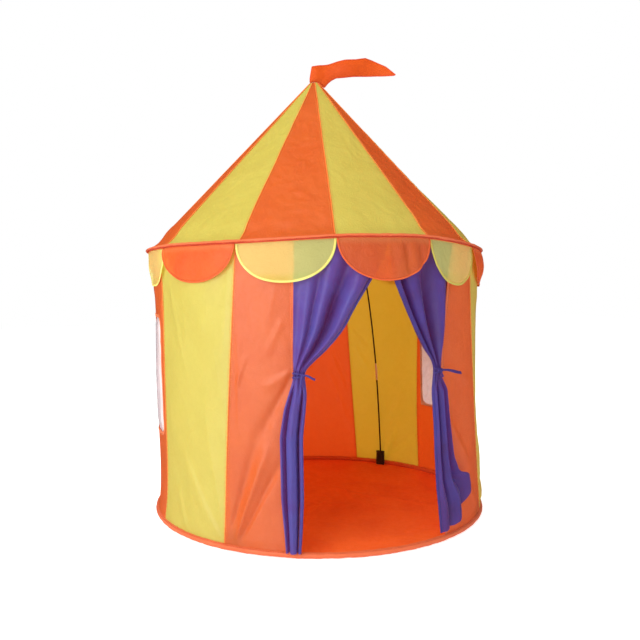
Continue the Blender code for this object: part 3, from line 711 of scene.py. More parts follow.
def add_hems():
    """Add the eave and base hems, the stitches that close them and a dark cord under the eaves, painted shade for the
    gap under the eave hem.
    """
    eave, eave_wave = hoop_hem(
        "eave_hem", EAVE_RADIUS, HEM_HEIGHT, EAVE_REACH, EAVE_RISE, EAVE_CLOTH, 0.0008, 300
    )
    base, base_wave = hoop_hem(
        "base_hem", BASE_RADIUS, BASE_HEM_HEIGHT, BASE_REACH, BASE_HEM_HEIGHT, HEM_CLOTH, 0.0, 310
    )
    runs = []
    for radius, height, reach, rise, lift, angle in (
        (EAVE_RADIUS, HEM_HEIGHT, EAVE_REACH - 0.0004, EAVE_RISE - 0.0003, eave_wave, -30),
        (BASE_RADIUS, BASE_HEM_HEIGHT, BASE_REACH, BASE_HEM_HEIGHT, base_wave, 48),
    ):
        outward = math.radians(angle)
        line = at(HEM_TURN, radius + reach * math.cos(outward), height + 0 * HEM_TURN)
        line[..., 2] += lift + rise * math.sin(outward)
        runs.append(stitch_run(line, direction(HEM_TURN, math.cos(outward), math.sin(outward)), rise=0.0004))
    threads = add_piece("hem_stitches", joined(runs), RED_THREAD)
    # A thin dark cord under the eave hem: painted shade for the gap between the hem and the scallops
    line = at(HEM_TURN, EAVE_RADIUS + 0.0030, HEM_HEIGHT + 0 * HEM_TURN)
    line[..., 2] += eave_wave - 0.0040
    cord = sweep(line, direction(HEM_TURN), oval(0.0013, 0.0013, 8), closed=True)
    return eave, base, threads, add_piece("eave_shade_cord", cord, PAINTED_SHADE_CORD)


# Walls
# Folds of a wall: azimuth and height of the start and of the end, width at the start and at the end,
# how far it stands out, and how many times as wide its left side is, where that isn't once
FOLDS = {
    "front_left_2": (
        (-52.0, 0.020, -69.0, 0.223, 0.0035, 0.009, 0.0048, 4.0),
        (-67.2, 0.016, -74.3, 0.130, 0.003, 0.007, 0.0028, 4.0),
        (-51.5, 0.040, -57.0, 0.330, 0.006, 0.018, 0.0030),
        (-48.1, 0.690, -60.4, 0.600, 0.006, 0.020, 0.0020),
        (-47.0, 0.700, -49.5, 0.480, 0.010, 0.016, 0.0022),
        (-75.0, 0.640, -66.0, 0.420, 0.004, 0.012, 0.0018),
    ),
    "front_left_1": (
        (-47.0, 0.035, -36.5, 0.260, 0.004, 0.013, 0.0085),
        (-45.5, 0.035, -32.5, 0.235, 0.004, 0.011, -0.0065),
        (-48.5, 0.060, -39.5, 0.290, 0.006, 0.016, -0.0065),
        (-29.7, 0.425, -40.0, 0.270, 0.006, 0.018, -0.0060),
        (-29.6, 0.440, -37.3, 0.400, 0.005, 0.012, 0.0035),
        (-31.4, 0.560, -37.1, 0.470, 0.006, 0.013, 0.0022),
        (-33.2, 0.640, -37.5, 0.520, 0.008, 0.014, 0.0018),
        (-45.5, 0.400, -42.5, 0.480, 0.003, 0.008, 0.0025),
        (-45.5, 0.300, -44.5, 0.560, 0.004, 0.009, 0.0016),
    ),
    "back_right_2": (
        (150.8, 0.400, 143.5, 0.263, 0.005, 0.010, -0.0040),
        (153.0, 0.330, 146.0, 0.180, 0.006, 0.012, 0.0025),
    ),
    "back_right_1": (
        (141.7, 0.487, 133.7, 0.419, 0.005, 0.010, -0.0035),
        (141.0, 0.420, 134.5, 0.330, 0.006, 0.012, 0.0030),
        (126.3, 0.143, 117.0, 0.311, 0.006, 0.014, 0.0030),
    ),
    "front_right_1": (
        (22.0, 0.330, 37.0, 0.150, 0.010, 0.018, 0.0070),
        (22.0, 0.290, 33.0, 0.090, 0.008, 0.016, -0.0045),
        (21.5, 0.440, 40.0, 0.380, 0.006, 0.020, 0.0030),
        (43.0, 0.035, 33.0, 0.130, 0.006, 0.016, 0.0035),
    ),
}


def panel_edges(place, height):
    """Return the azimuths of a wall panel's two edges at these heights."""
    before = place_before(place)
    low = seam_azimuth(before, height) + wall_turn(GAP / 2)
    low = low - 360 if place_azimuth(place) < 0 < place_azimuth(before) else low
    high = seam_azimuth(place, height) - wall_turn(GAP / 2)
    if place == "front_left_1":
        high = DOOR_EDGE_LEFT + 0 * height
    if place == "front_right_1":
        low = np.interp(height, (0, DOOR_PULL_HEIGHT, WALL_TOP), DOOR_EDGE_RIGHT)
    return low, high


def pole_folds(place):
    """Return random folds that fan out from the poles' feet and hang from the eaves beside a seam."""
    middle = place_azimuth(place)
    draw = np.random.default_rng(480 + PLACES.index(place))
    own = []
    for pole in POLES.values():
        apart = (middle - pole + 180) % 360 - 180
        if abs(apart) > PANEL:
            continue
        way = math.copysign(1, apart)
        for reach in (6.0, 12.0, 19.0):
            high = draw.uniform(0.14, 0.34) * (1.1 - reach / 40)
            own.append((
                pole + 1.5 * way, 0.032, pole + way * reach, high, 0.006, 0.018, draw.uniform(0.002, 0.0055)
            ))
    for corner in (-1, 1):
        own.append((
            middle + corner * 14, 0.700, middle + corner * draw.uniform(2, 8), draw.uniform(0.52, 0.64),
            0.006, 0.016, draw.uniform(0.001, 0.0025),
        ))
    return own


def wall_fold(place, azimuth, height):
    """Return how far a wall panel's folds stand out from its even curve."""
    index = PLACES.index(place)
    along = np.radians(azimuth) * WALL_FOOT_RADIUS
    share = wall_share(height)
    lift = 0.0028 * rough(along / 0.085, height / 0.34, 400 + index, 2)
    lift += 0.0007 * crumple(along / 0.045, height / 0.075, 440 + index)
    own = list(FOLDS.get(place, ()))
    if place not in ("front_left_2", "front_left_1", "front_right_1"):
        own += pole_folds(place)
    for start, low, end, high, *shape in own:
        start_along, end_along = (math.radians(a) * WALL_FOOT_RADIUS for a in (start, end))
        lift = lift + ridge(along, height, (start_along, low), (end_along, high), *shape)
    low_edge, high_edge = panel_edges(place, height)
    seams = np.minimum(
        np.abs(azimuth - low_edge) if place != "front_right_1" else 90.0,
        np.abs(high_edge - azimuth) if place != "front_left_1" else 90.0,
    )
    seams = np.radians(seams) * WALL_FOOT_RADIUS
    held = smooth(seams / 0.016)
    ends = smooth(share / 0.03) * smooth((1 - share) / 0.04)
    lift = lift * (0.25 + 0.75 * held) * ends
    pucker = np.sin(height / 0.0125 * 2 * math.pi + 3 * noise(height / 0.05, along, 500 + index))
    lift += 0.0005 * pucker * np.exp(-seams / 0.007) * ends
    at_hems = np.exp(-(height - WALL_FOOT) / 0.014) + 0.6 * np.exp(-(WALL_TOP - height) / 0.012)
    lift += 0.0007 * noise(along / 0.0075, 0 * height, 520 + index) * at_hems
    under_scallops = smooth((height - 0.60) / 0.05)
    return np.where(lift > 0, lift * (1 - 0.93 * under_scallops), lift)


def wall_surface(place, azimuth, height, proud=0.0):
    """Return points in the middle of a wall panel's cloth, or proud of it."""
    radius = wall_radius(azimuth, height) - (CLOTH / 2 - proud) + wall_fold(place, azimuth, height)
    return at(azimuth, radius, height)


def window_distance(along, height):
    """Return the signed distance from the edge of a window's rounded opening, negative inside it."""
    across = np.abs(along) - (WINDOW_HALF_WIDTH - WINDOW_CORNER)
    upward = np.abs(height - WINDOW_MIDDLE) - (WINDOW_HALF_HEIGHT - WINDOW_CORNER)
    outside = np.hypot(np.maximum(across, 0), np.maximum(upward, 0))
    return outside + np.minimum(np.maximum(across, upward), 0) - WINDOW_CORNER


WINDOW_SNAP = 0.0026


def drawn_to_window(along, height):
    """Return a window panel's points with those near the opening's edge moved onto it."""
    step = 1e-5
    for _ in range(2):
        away = window_distance(along, height)
        slope_x = (window_distance(along + step, height) - away) / step
        slope_y = (window_distance(along, height + step) - away) / step
        near = np.abs(away) < WINDOW_SNAP
        along = np.where(near, along - away * slope_x, along)
        height = np.where(near, height - away * slope_y, height)
    return along, height


def add_wall(place):
    """Add one wall panel, with its window cut out where it has one."""
    up, across = grid(150, 61)
    height = WALL_FOOT + WALL_HEIGHT * up
    low, high = panel_edges(place, height)
    azimuth = low + (high - low) * across
    faces = grid_faces(*height.shape)
    if place in WINDOWS:
        along, height = drawn_to_window(np.radians(azimuth - WINDOWS[place]) * WALL_FOOT_RADIUS, height)
        azimuth = WINDOWS[place] + wall_turn(along)
        faces = faces[window_distance(along, height).ravel()[faces].mean(axis=1) > 0.0001]
    points, faces, uv = sheet_shape(
        wall_surface(place, azimuth, height), np.radians(azimuth) * WALL_FOOT_RADIUS, height, faces
    )
    used, faces = np.unique(faces, return_inverse=True)
    return add_piece(
        f"wall_cloth_{place}", (points[used], faces.reshape(-1, 4), uv[used]),
        *PANEL_CLOTHS[PLACES.index(place) % 2], [f"wall_panel_{place}"],
    )


def window_line(place, count, grow, proud):
    """Return a closed line on the wall round a window's opening, and the directions outward along it."""
    corner = WINDOW_CORNER + grow
    wide, tall = WINDOW_HALF_WIDTH - WINDOW_CORNER, WINDOW_HALF_HEIGHT - WINDOW_CORNER
    outline = []
    for first, (side, rise) in zip((0, 90, 180, 270), ((1, 1), (-1, 1), (-1, -1), (1, -1))):
        for turn in np.radians(np.linspace(first, first + 90, 9)):
            outline.append(
                (side * wide + corner * math.cos(turn), WINDOW_MIDDLE + rise * tall + corner * math.sin(turn))
            )
    along, height = evenly(np.array(outline), count).T
    azimuth = WINDOWS[place] + wall_turn(along)
    return wall_surface(place, azimuth, height, proud), direction(azimuth)


FILM_EDGE = 0.005
FILM_INSET = 0.0035


def add_window(place):
    """Add a window's film, the turned edge of its opening and the stitches round it."""
    up, across = grid(70, 41, -1)
    low, high = WINDOW_LOW - FILM_EDGE, WINDOW_HIGH + FILM_EDGE
    height, along = low + (high - low) * up, (WINDOW_HALF_WIDTH + FILM_EDGE) * across
    azimuth = WINDOWS[place] + wall_turn(along)
    inside = smooth(-window_distance(along, height) / 0.03)
    waves = rough(along / 0.05, height / 0.09, 700 + len(place))
    wave = inside * (0.0040 + 0.0006 * waves if place == "left" else -0.003 * (0.6 + waves))
    radius = wall_radius(azimuth, height) - FILM_INSET + wave + wall_fold(place, azimuth, height)
    film = add_piece(
        f"window_sheet_{place}", sheet_shape(at(azimuth, radius, height), along, height), FILMS[place],
        "clear_film", [f"window_film_{place}"],
    )
    binding = sweep(*window_line(place, 260, 0.0035, 0.0004), oval(0.0046, 0.0009, 10, 3.0), closed=True)
    runs = []
    for grow in (0.0012, 0.0062):
        line, outward = window_line(place, 400, grow, 0.0013)
        runs.append(stitch_run(ring(line), ring(outward)))
    return (
        film, add_piece(f"window_edge_{place}", binding, HEM_CLOTH),
        add_piece(f"window_stitches_{place}", joined(runs), PALE_THREAD),
    )


SEAM_STITCHES_ASIDE = 0.0048
DOOR_HEM_MIDDLE = 0.0055
DOOR_STITCHES_ASIDE = (0.0025, 0.0092)


def add_wall_seams():
    """Add the raised seams between the wall panels, the door's side hems and their stitches."""
    seams, hems, pale, red = [], [], [], []
    height = np.linspace(WALL_FOOT + 0.001, WALL_TOP - 0.001, 200)
    for place in PLACES[1:-1]:
        azimuth = seam_azimuth(place, height)
        outward = direction(azimuth)
        path = wall_surface(place, azimuth, height, 0.0003)
        seams.append(sweep(path, outward, oval(0.0017, 0.0008, 8)))
        for side, owner in ((-1, place), (1, PLACES[PLACES.index(place) + 1])):
            beside = azimuth + wall_turn(side * SEAM_STITCHES_ASIDE)
            if place == "back" and side > 0:
                beside = beside - 360  # azimuths of the left half are negative
            pale.append(stitch_run(wall_surface(owner, beside, height, 0.0005), outward))
    for place, side in (("front_left_1", -1), ("front_right_1", 1)):
        edge = panel_edges(place, height)[1 if side < 0 else 0]
        middle = edge + wall_turn(side * DOOR_HEM_MIDDLE)
        path = wall_surface(place, middle, height, 0.0005)
        hems.append(sweep(path, direction(middle), oval(0.0058, 0.0008, 10, 3.0)))
        for aside in DOOR_STITCHES_ASIDE:
            spot = edge + wall_turn(side * aside)
            line = wall_surface(place, spot, height, 0.0015)
            red.append(stitch_run(line, direction(spot), pitch=0.0060, length=0.0042, width=0.0007))
    return [
        add_piece(name, joined(shapes), material) for name, shapes, material in (
            ("wall_seam_cord", seams, SEAM_CORD), ("door_side_hems", hems, HEM_CLOTH),
            ("wall_stitches", pale, PALE_THREAD), ("door_stitches", red, RED_THREAD),
        )
    ]


# Scallops
SCALLOP_DEPTH = SCALLOP_TOP - SCALLOP_FOOT
SCALLOP_POWER = 2.15
HEADER_LAP, HEADER_RISE = 0.0025, 0.0027
# Scallops by their number from the one over the doorway: how much deeper some are, the one that
# shows its folds, those that hang free over the curtains, and those that lie on the wall with how
# far they lie within their header
DEEPER = {1: 1.09, 2: 1.05, 9: 1.04, 10: 0.96}
FOLDED, HANGING, LYING = 0, (0, 1, 11), {8: -0.010, 9: -0.004}
# The scallop whose binding takes the darker copy of the yellow binding, painted shade
SHADED_BINDING = 1
# Folds of the folded scallop: place across it, width and height
FRONT_FOLDS = (
    (0.30, 0.09, 0.0026), (0.43, 0.06, -0.0046), (0.60, 0.09, 0.0030), (0.77, 0.05, -0.0030),
    (0.10, 0.08, -0.0022), (-0.30, 0.14, 0.0012),
)


def scallop_drop(index, across):
    """Return how far a scallop hangs below its header at a place from -1 to 1 across it."""
    round_edge = (1 - np.abs(across) ** SCALLOP_POWER) ** (1 / SCALLOP_POWER)
    return SCALLOP_DEPTH * DEEPER.get(index, 1.0) * round_edge


def scallop_stand(index, share, radius, wall):
    """Return how far a scallop stands off its header's radius, at these shares of its depth."""
    if index in HANGING:
        return 0.006 * np.sin(math.pi / 2 * np.clip(share, 0, 1))
    home = np.clip(wall + 0.0025 - radius, -0.012, 0.006)
    return 0.0066 * np.sin(math.pi * np.clip(share, 0, 1) ** 0.7) + home * smooth((share - 0.5) / 0.5)


def scallop_point(index, across, down, lift=0.0):
    """Return points of a scallop's cloth at this place across it and depth below the header."""
    radius = YELLOW_SCALLOP_RADIUS if index % 2 == 1 else ORANGE_SCALLOP_RADIUS
    middle, half = panel_span(PLACES[index], SCALLOPS)
    azimuth = middle + across * half
    height = SCALLOP_TOP - down
    share = down / SCALLOP_DEPTH
    along = across * np.radians(half) * radius
    wall = wall_radius(azimuth, height)
    if index in LYING:
        home = np.clip(wall + 0.0025 - radius, -0.012, LYING[index])
        stand = 0.0020 * np.sin(math.pi * np.clip(share, 0, 1)) + home * smooth(share / 0.9)
    else:
        stand = scallop_stand(index, share, radius, wall)
        stand = stand + 0.0016 * share * rough(along / 0.030, down / 0.09, 800 + index, 2)
        stand += 0.0006 * crumple(along / 0.022, down / 0.028, 830 + index) * smooth(share / 0.3)
    if index == FOLDED:
        calm = 1 - 0.75 * smooth((share - 0.6) / 0.35)
        for place, width, rise in FRONT_FOLDS:
            slanted = place + 0.10 * (share - 0.5)
            stand += rise * np.exp(-((across - slanted) / width) ** 2) * smooth(share / 0.35) * calm
    else:
        stand += 0.0014 * np.sin(across * 7.0 + index) * smooth(share / 0.5)
    low = np.where(share < 0.45, radius - 0.0006, np.minimum(radius, wall) + 0.0010)
    return at(azimuth, np.maximum(radius + stand, low) + lift, height), azimuth


def add_scallops(first, colour, header_radius, cloth_material, binding_materials, thread, width, inset):
    """Add every second scallop, their header strip, and bindings of this half width with stitches."""
    slot = f"{colour}_cloth"
    sheets, bindings, runs, kinds = [], [], [], []
    flat_area = 2 * math.pi * EAVE_RADIUS * 0.005
    for index in range(first, 12, 2):
        reach = math.radians(panel_span(PLACES[index], SCALLOPS)[1]) * EAVE_RADIUS
        up, across = grid(30, 65)
        across = -np.cos(math.pi * across) * 0.9995
        down = up * scallop_drop(index, across)
        points, azimuth = scallop_point(index, across, down)
        sheets.append(sheet_shape(points, np.radians(azimuth) * EAVE_RADIUS, -down))
        flat_area += math.pi / 4 * 2 * SCALLOP_DEPTH * reach
        across = -np.cos(np.linspace(0.012, math.pi - 0.012, 150))
        for share, lift in ((1.0, 0.0002), (1.72, 0.0012)):
            spot = across * (1 - share * inset / reach)
            drop = scallop_drop(index, across) * (1 - share * inset / SCALLOP_DEPTH)
            line, azimuth = scallop_point(index, spot, drop, lift)
            if share == 1.0:
                bindings.append(sweep(line, direction(azimuth), oval(width, 0.0010, 10, 2.6)))
                # The shaded scallop's binding takes the second material, painted shade
                kinds += [int(index == SHADED_BINDING)] * len(bindings[-1][1])
            else:
                runs.append(stitch_run(line, direction(azimuth), pitch=0.0040, width=0.00045, rise=0.0004))
    turn = np.linspace(0, 360, 361)
    strip = at(turn, header_radius, SCALLOP_TOP + np.array([[-HEADER_LAP], [HEADER_RISE]]))
    sheets.append(sheet_shape(strip, np.radians(turn) * EAVE_RADIUS, np.array([0.0, 0.006])[:, None]))
    piece = add_piece(
        f"scallop_cloth_{colour}", joined(sheets), cloth_material, slot, [f"scallops_{colour}"]
    )
    binding = add_piece(
        f"scallop_binding_{colour}", joined(bindings), binding_materials, slot, face_materials=kinds
    )
    threads = add_piece(f"scallop_stitches_{colour}", joined(runs), thread, slot)


# Curtains
TIE_ROW = 7
# A row is the height of its outer and of its inner end, the azimuths of these ends, the
# radius of its middle, the depth of its folds and the depth that its whole section bows outward.
LEFT_CURTAIN = (
    (0.7315, 0.7315, 27.5, 0.3, 0.4722, 0.0022, 0.0),
    (0.6900, 0.6900, 27.8, 1.7, 0.4718, 0.0055, 0.0),
    (0.6430, 0.6430, 28.0, 5.4, 0.4715, 0.0115, 0.0),
    (0.5850, 0.5850, 28.2, 10.5, 0.4725, 0.0145, 0.001),
    (0.5390, 0.5390, 28.3, 14.1, 0.4750, 0.0140, 0.002),
    (0.4980, 0.4980, 28.4, 18.6, 0.4785, 0.0105, 0.003),
    (0.4680, 0.4680, 28.4, 22.8, 0.4815, 0.0055, 0.004),
    (0.4450, 0.4450, 28.3, 25.4, 0.4830, 0.0035, 0.005),
    (0.4270, 0.4270, 28.4, 25.5, 0.4830, 0.0035, 0.005),
    (0.3900, 0.3900, 29.8, 25.0, 0.4830, 0.0060, 0.004),
    (0.3540, 0.3540, 31.2, 25.4, 0.4830, 0.0085, 0.003),
    (0.2900, 0.2900, 32.5, 26.3, 0.4830, 0.0090, 0.003),
    (0.1400, 0.1400, 32.5, 26.4, 0.4830, 0.0085, 0.002),
    (0.0160, 0.0160, 31.4, 27.4, 0.4835, 0.0060, 0.002),
)
RIGHT_CURTAIN = (
    (0.7315, 0.7315, 26.0, 0.3, 0.4722, 0.0022, 0.0),
    (0.6900, 0.6900, 25.9, 0.6, 0.4712, 0.0060, 0.0),
    (0.6430, 0.6430, 25.3, 1.7, 0.4706, 0.0120, 0.0),
    (0.5830, 0.5830, 23.9, 5.3, 0.4706, 0.0145, 0.001),
    (0.5340, 0.5340, 22.0, 8.6, 0.4728, 0.0140, 0.002),
    (0.4880, 0.4880, 19.3, 11.7, 0.4775, 0.0105, 0.003),
    (0.4650, 0.4650, 17.9, 13.4, 0.4812, 0.0060, 0.004),
    (0.4460, 0.4460, 17.0, 14.6, 0.4830, 0.0035, 0.005),
    (0.4280, 0.4280, 17.3, 14.4, 0.4830, 0.0035, 0.005),
    (0.3900, 0.3900, 19.5, 13.6, 0.4830, 0.0085, 0.004),
    (0.3000, 0.3000, 20.6, 14.3, 0.4830, 0.0110, 0.003),
    (0.2150, 0.2250, 22.4, 14.6, 0.4830, 0.0100, 0.003),
    (0.1720, 0.1500, 25.0, 14.9, 0.4840, 0.0095, 0.003),
    (0.1580, 0.0900, 30.9, 15.6, 0.4850, 0.0080, 0.003),
    (0.1120, 0.0300, 32.4, 16.4, 0.4850, 0.0060, 0.002),
)
# Folds of a curtain: place across it from its outer to its inner edge, width and height, first
# above its tie and then below it
LEFT_FOLDS = (
    ((0.06, 0.08, -0.3), (0.20, 0.08, 0.5), (0.31, 0.05, -0.7), (0.44, 0.09, 0.7), (0.63, 0.085, -2.2),
     (0.82, 0.09, 0.8), (0.99, 0.05, -1.4)),
    ((0.06, 0.07, 0.6), (0.21, 0.055, -2.0), (0.50, 0.20, 1.0), (0.80, 0.045, -2.2), (0.95, 0.06, 0.6)),
)
RIGHT_FOLDS = (
    ((0.02, 0.09, -1.2), (0.25, 0.09, 0.7), (0.49, 0.10, -2.4), (0.74, 0.08, 0.6), (0.875, 0.035, -1.8),
     (0.96, 0.045, 0.5)),
    ((0.02, 0.05, 0.5), (0.22, 0.10, -2.6), (0.49, 0.08, 0.9), (0.70, 0.045, -1.3), (0.88, 0.08, 0.8)),
)


def curtain_surface(rows, folds, side, across, down):
    """Return points of a curtain, from 0 to 1 across it and down it."""
    rows = np.array(rows)
    stations = np.linspace(0, 1, 400)
    drop = rows[0, 0] - (rows[:, 0] + rows[:, 1]) / 2
    drop /= drop[-1]
    kernel = np.hanning(25) / np.hanning(25).sum()
    fine = [np.pad(np.interp(stations, drop, row), 12, mode="reflect", reflect_type="odd") for row in rows.T]
    outer_high, inner_high, outer, inner, radius, depth, bow = (
        np.interp(down, stations, np.convolve(line, kernel, mode="valid")) for line in fine
    )
    tie = drop[TIE_ROW]
    below = smooth((down - tie) / 0.10)
    wander = 0.022 * noise(down * 6, across * 2, 900 + side) * (1 - np.abs(2 * across - 1))
    spot = across + wander
    lift = 0 * down
    for amount, own_folds in ((1 - below, folds[0]), (below, folds[1])):
        for place, width, rise in own_folds:
            lift = lift + amount * rise * np.exp(-((spot - place) / width) ** 2)
    squeeze = np.exp(-((down - tie - 0.008) / 0.022) ** 2)
    gathers = 0.45 * np.sin(spot * 2 * math.pi * 6.5 + 0.7)
    lift = lift * (1 - 0.65 * squeeze) + gathers * squeeze
    crinkles = 0.0006 * crumple(across * 6, down * 26, 910 + side)
    azimuth = side * (outer + (inner - outer) * across)
    height = outer_high + (inner_high - outer_high) * across
    if side > 0:
        height = height - 0.026 * np.sin(math.pi * across ** 0.8) * down ** 9
    bulge = bow * np.sin(math.pi * across)
    return at(azimuth, radius + depth * lift + crinkles + bulge, height)


# Width and height of a curtain along its weave and laid flat, and the area of its cloth
CURTAIN_WEAVE, CURTAIN_FLAT, CURTAIN_AREA = (0.30, 0.72), (0.24, 0.74), 0.115


def add_curtain(name, side, rows, folds, material):
    """Add one curtain, gathered by its tie, with its side hem."""
    down, across = grid(260, 121)
    points = curtain_surface(rows, folds, side, across, down)
    shape = sheet_shape(points, across * CURTAIN_WEAVE[0], -down * CURTAIN_WEAVE[1])
    piece = add_piece(f"{name}_cloth", shape, material, "purple_cloth", [name])
    edge = points[:, -1]
    outward = -side * unit(np.cross(np.gradient(edge, axis=0), edge - points[:, -4]))
    hem = sweep(edge, outward, oval(0.0035, 0.0011, 8, 2.5))
    return piece, add_piece(f"{name}_hem", hem, material, "purple_cloth")


TIE_RADIUS = 0.4855
TIE_HEIGHT = 0.436
UPWARD = np.array([0.0, 0.0, 1.0])


def turns_of(angle, first, second):
    """Return the directions at these angles from the first vector to the second."""
    return np.cos(angle)[:, None] * first + np.sin(angle)[:, None] * second


def add_tie(name, side, first, last, tails):
    """Add the ribbon that gathers a curtain: two turns round it, a knot and its tails.

    first and last are the azimuths of the gathered curtain's edges. A tail is its reach towards
    larger azimuths, its drop, how far it stands out and its half width."""
    middle = side * (first + last) / 2
    centre = at(middle, TIE_RADIUS, TIE_HEIGHT)
    outward, along = direction(middle), direction(middle + 90)
    half = math.radians(abs(first - last)) / 2 * TIE_RADIUS + 0.0016
    turn = np.linspace(0, 4 * math.pi, 120)
    wide, deep = half + 0.0006 * turn / 6, 0.0064 + 0.0005 * turn / 6
    path = (
        centre + (np.cos(turn) * wide)[:, None] * along + (np.sin(turn) * deep)[:, None] * outward
        + (0.0045 * np.sin(turn / 2) - 0.001 * turn / 6)[:, None] * UPWARD
    )
    shapes = [sweep(path, turns_of(turn, along * 0.7, outward), oval(0.0022, 0.0008, 8, 3.0))]
    knot = centre + outward * 0.0085 + along * side * -half * 0.75
    turn = np.linspace(0, 2 * math.pi * 1.35, 40)
    path = (
        knot + turns_of(turn, UPWARD * 0.0036, outward * 0.0030)
        - along * side * (turn[:, None] / 8.5 - 0.5) * 0.005
    )
    shapes.append(sweep(path, turns_of(turn, UPWARD, outward), oval(0.0026, 0.0011, 8, 2.6)))
    share = np.linspace(0, 1, 40)
    for reach, drop, out, width in tails:
        path = (
            knot + (reach * share)[:, None] * along * side
            + (-drop * share ** 1.3 + 0.002 * np.sin(share * 5))[:, None] * UPWARD
            + (0.003 + out * np.sin(share * math.pi / 2))[:, None] * outward
        )
        roll = 0.6 * np.sin(share * 4 + reach * 50)
        shapes.append(sweep(
            path, turns_of(roll, outward, UPWARD), oval(width, 0.0008, 8, 2.6), scale=0.8 + 0.35 * share
        ))
    return add_piece(f"{name}_ribbon", joined(shapes), PURPLE, "purple_cloth", [name])


# Poles, pockets and floor
FERRULE_LOW, FERRULE_HIGH = 0.3059, 0.3661
# Rings of a foot pocket from its outer foot over its rim to its inner foot: height, half width and
# half depth
POCKET_RINGS = (
    (0.0025, 0.0125, 0.0040), (0.0028, 0.0148, 0.0060), (0.006, 0.0152, 0.0066), (0.014, 0.0153, 0.0067),
    (0.024, 0.0151, 0.0066), (0.034, 0.0150, 0.0063), (0.042, 0.0149, 0.0060), (0.0455, 0.0150, 0.0060),
    (0.0465, 0.0154, 0.0066), (0.0485, 0.0154, 0.0066), (0.0500, 0.0150, 0.0062), (0.0502, 0.0140, 0.0052),
    (0.0495, 0.0130, 0.0046), (0.046, 0.0128, 0.0044), (0.030, 0.0120, 0.0042), (0.010, 0.0110, 0.0038),
)
FLOOR_RADIUS = 0.4670
FLOOR_REST = 0.0010
FLOOR_RIM_LIFT = 0.0018
# Creases of the floor cloth: start, end and height
FLOOR_CREASES = (
    ((-0.30, -0.33), (0.12, 0.05), 0.003), ((0.33, -0.25), (0.02, 0.12), 0.0028),
    ((-0.36, 0.10), (0.10, -0.12), 0.0022), ((0.05, 0.40), (0.12, -0.20), 0.002),
)


def pole_line():
    """Return the pole's route as radii and heights: straight in its pocket, then a smooth curve."""
    route = np.array(POLE_ROUTE)
    share = np.linspace(0, 1, 12, endpoint=False)[:, None]
    line = [route[0] + (route[1] - route[0]) * share]
    for span in range(1, len(route) - 1):
        before, start, end = route[span - 1:span + 2]
        after = route[min(span + 2, len(route) - 1)]
        line.append(0.5 * (
            2 * start + (end - before) * share + (2 * before - 5 * start + 4 * end - after) * share ** 2
            + (3 * start - before - 3 * end + after) * share ** 3
        ))
    return np.concatenate([*line, route[-1:]])


def add_pole(place):
    """Add one bent rod with its metal ferrule, which is rolled in at both ends."""
    azimuth = POLES[place]
    aside = direction(azimuth + 90)
    line = pole_line()
    rod = sweep(standing(azimuth, *line.T), aside, oval(0.00275, 0.00275, 14))
    covered = line[(line[:, 1] > FERRULE_LOW) & (line[:, 1] < FERRULE_HIGH)]
    covered = sampled(np.linspace(0, 1, 31), np.linspace(0, 1, len(covered)), covered)
    size = np.ones(31)
    size[[0, -1]] = 0.80
    size[[1, 4, 5, -6, -5, -2]] = 0.93
    sleeve = sweep(standing(azimuth, *covered.T), aside, oval(0.0036, 0.0036, 16), scale=size)
    kinds = [0] * len(rod[1]) + [1] * len(sleeve[1])
    return add_piece(f"rod_{place}", joined([rod, sleeve]), [ROD, METAL], "black_rod", [f"pole_{place}"], kinds)


def add_pocket(place):
    """Add the sewn pocket that a pole's foot stands in: a flattened sleeve with a rolled rim."""
    azimuth, count = POLES[place], 48
    turn = np.linspace(0, 2 * math.pi, count, endpoint=False)
    rings = []
    for number, (height, half, depth) in enumerate(POCKET_RINGS):
        section = oval(half, depth, count, 3.2)
        dent = 1 + 0.02 * np.sin(3 * turn + number)
        rings.append(
            at(azimuth, POLE_FOOT_RADIUS, 0.0) + section[:, :1] * dent[:, None] * direction(azimuth + 90)
            + section[:, 1:] * direction(azimuth) + height * UPWARD
        )
    shape = tube_shape(np.array(rings), turn * 0.012, np.array(POCKET_RINGS)[:, :1])
    return add_piece(f"pocket_sleeve_{place}", shape, WEBBING, "black_webbing", [f"foot_pocket_{place}"])


def add_floor():
    """Add the floor cloth: a disc with low creases."""
    radius, turn = np.meshgrid(
        np.linspace(0.002, FLOOR_RADIUS, 70), np.linspace(0, 360, 180, endpoint=False), indexing="ij"
    )
    flat = at(turn, radius, 0)
    x, y = flat[..., 0], flat[..., 1]
    lift = 0.0012 + 0.0010 * rough(x / 0.09, y / 0.09, 950) + 0.0009 * crumple(x / 0.06, y / 0.06, 960)
    for start, end, rise in FLOOR_CREASES:
        lift = lift + ridge(x, y, start, end, 0.008, 0.014, rise)
    rim = smooth((FLOOR_RADIUS - radius) / 0.02)
    edge = 1 - smooth((FLOOR_RADIUS - radius) / 0.007)
    flat[..., 2] = FLOOR_REST + np.maximum(lift, 0) * rim + FLOOR_RIM_LIFT * edge
    return add_piece("floor_cloth", tube_shape(flat, x, y, caps=1), FLOOR_CLOTH, "floor_cloth", ["floor_sheet"])


# Pennant
PENNANT_AZIMUTH = 67.6
PENNANT_START, PENNANT_LENGTH, PENNANT_TIP = -0.0130, 0.2480, 0.2352
PENNANT_LOW = (
    (-0.0133, 1.2303), (0.0133, 1.2303), (0.0285, 1.2165), (0.0390, 1.2290), (0.0490, 1.2369), (0.0626, 1.2432),
    (0.0875, 1.2441), (0.1350, 1.2478), (0.1806, 1.2501), (0.2260, 1.2490), (0.2352, 1.2505),
)
PENNANT_HIGH = (
    (-0.0133, 1.2400), (-0.0073, 1.2756), (0.0160, 1.2795), (0.0397, 1.2820), (0.0670, 1.2896), (0.0900, 1.2934),
    (0.1190, 1.2945), (0.1484, 1.2995), (0.1670, 1.2940), (0.2076, 1.2753), (0.2352, 1.2512),
)


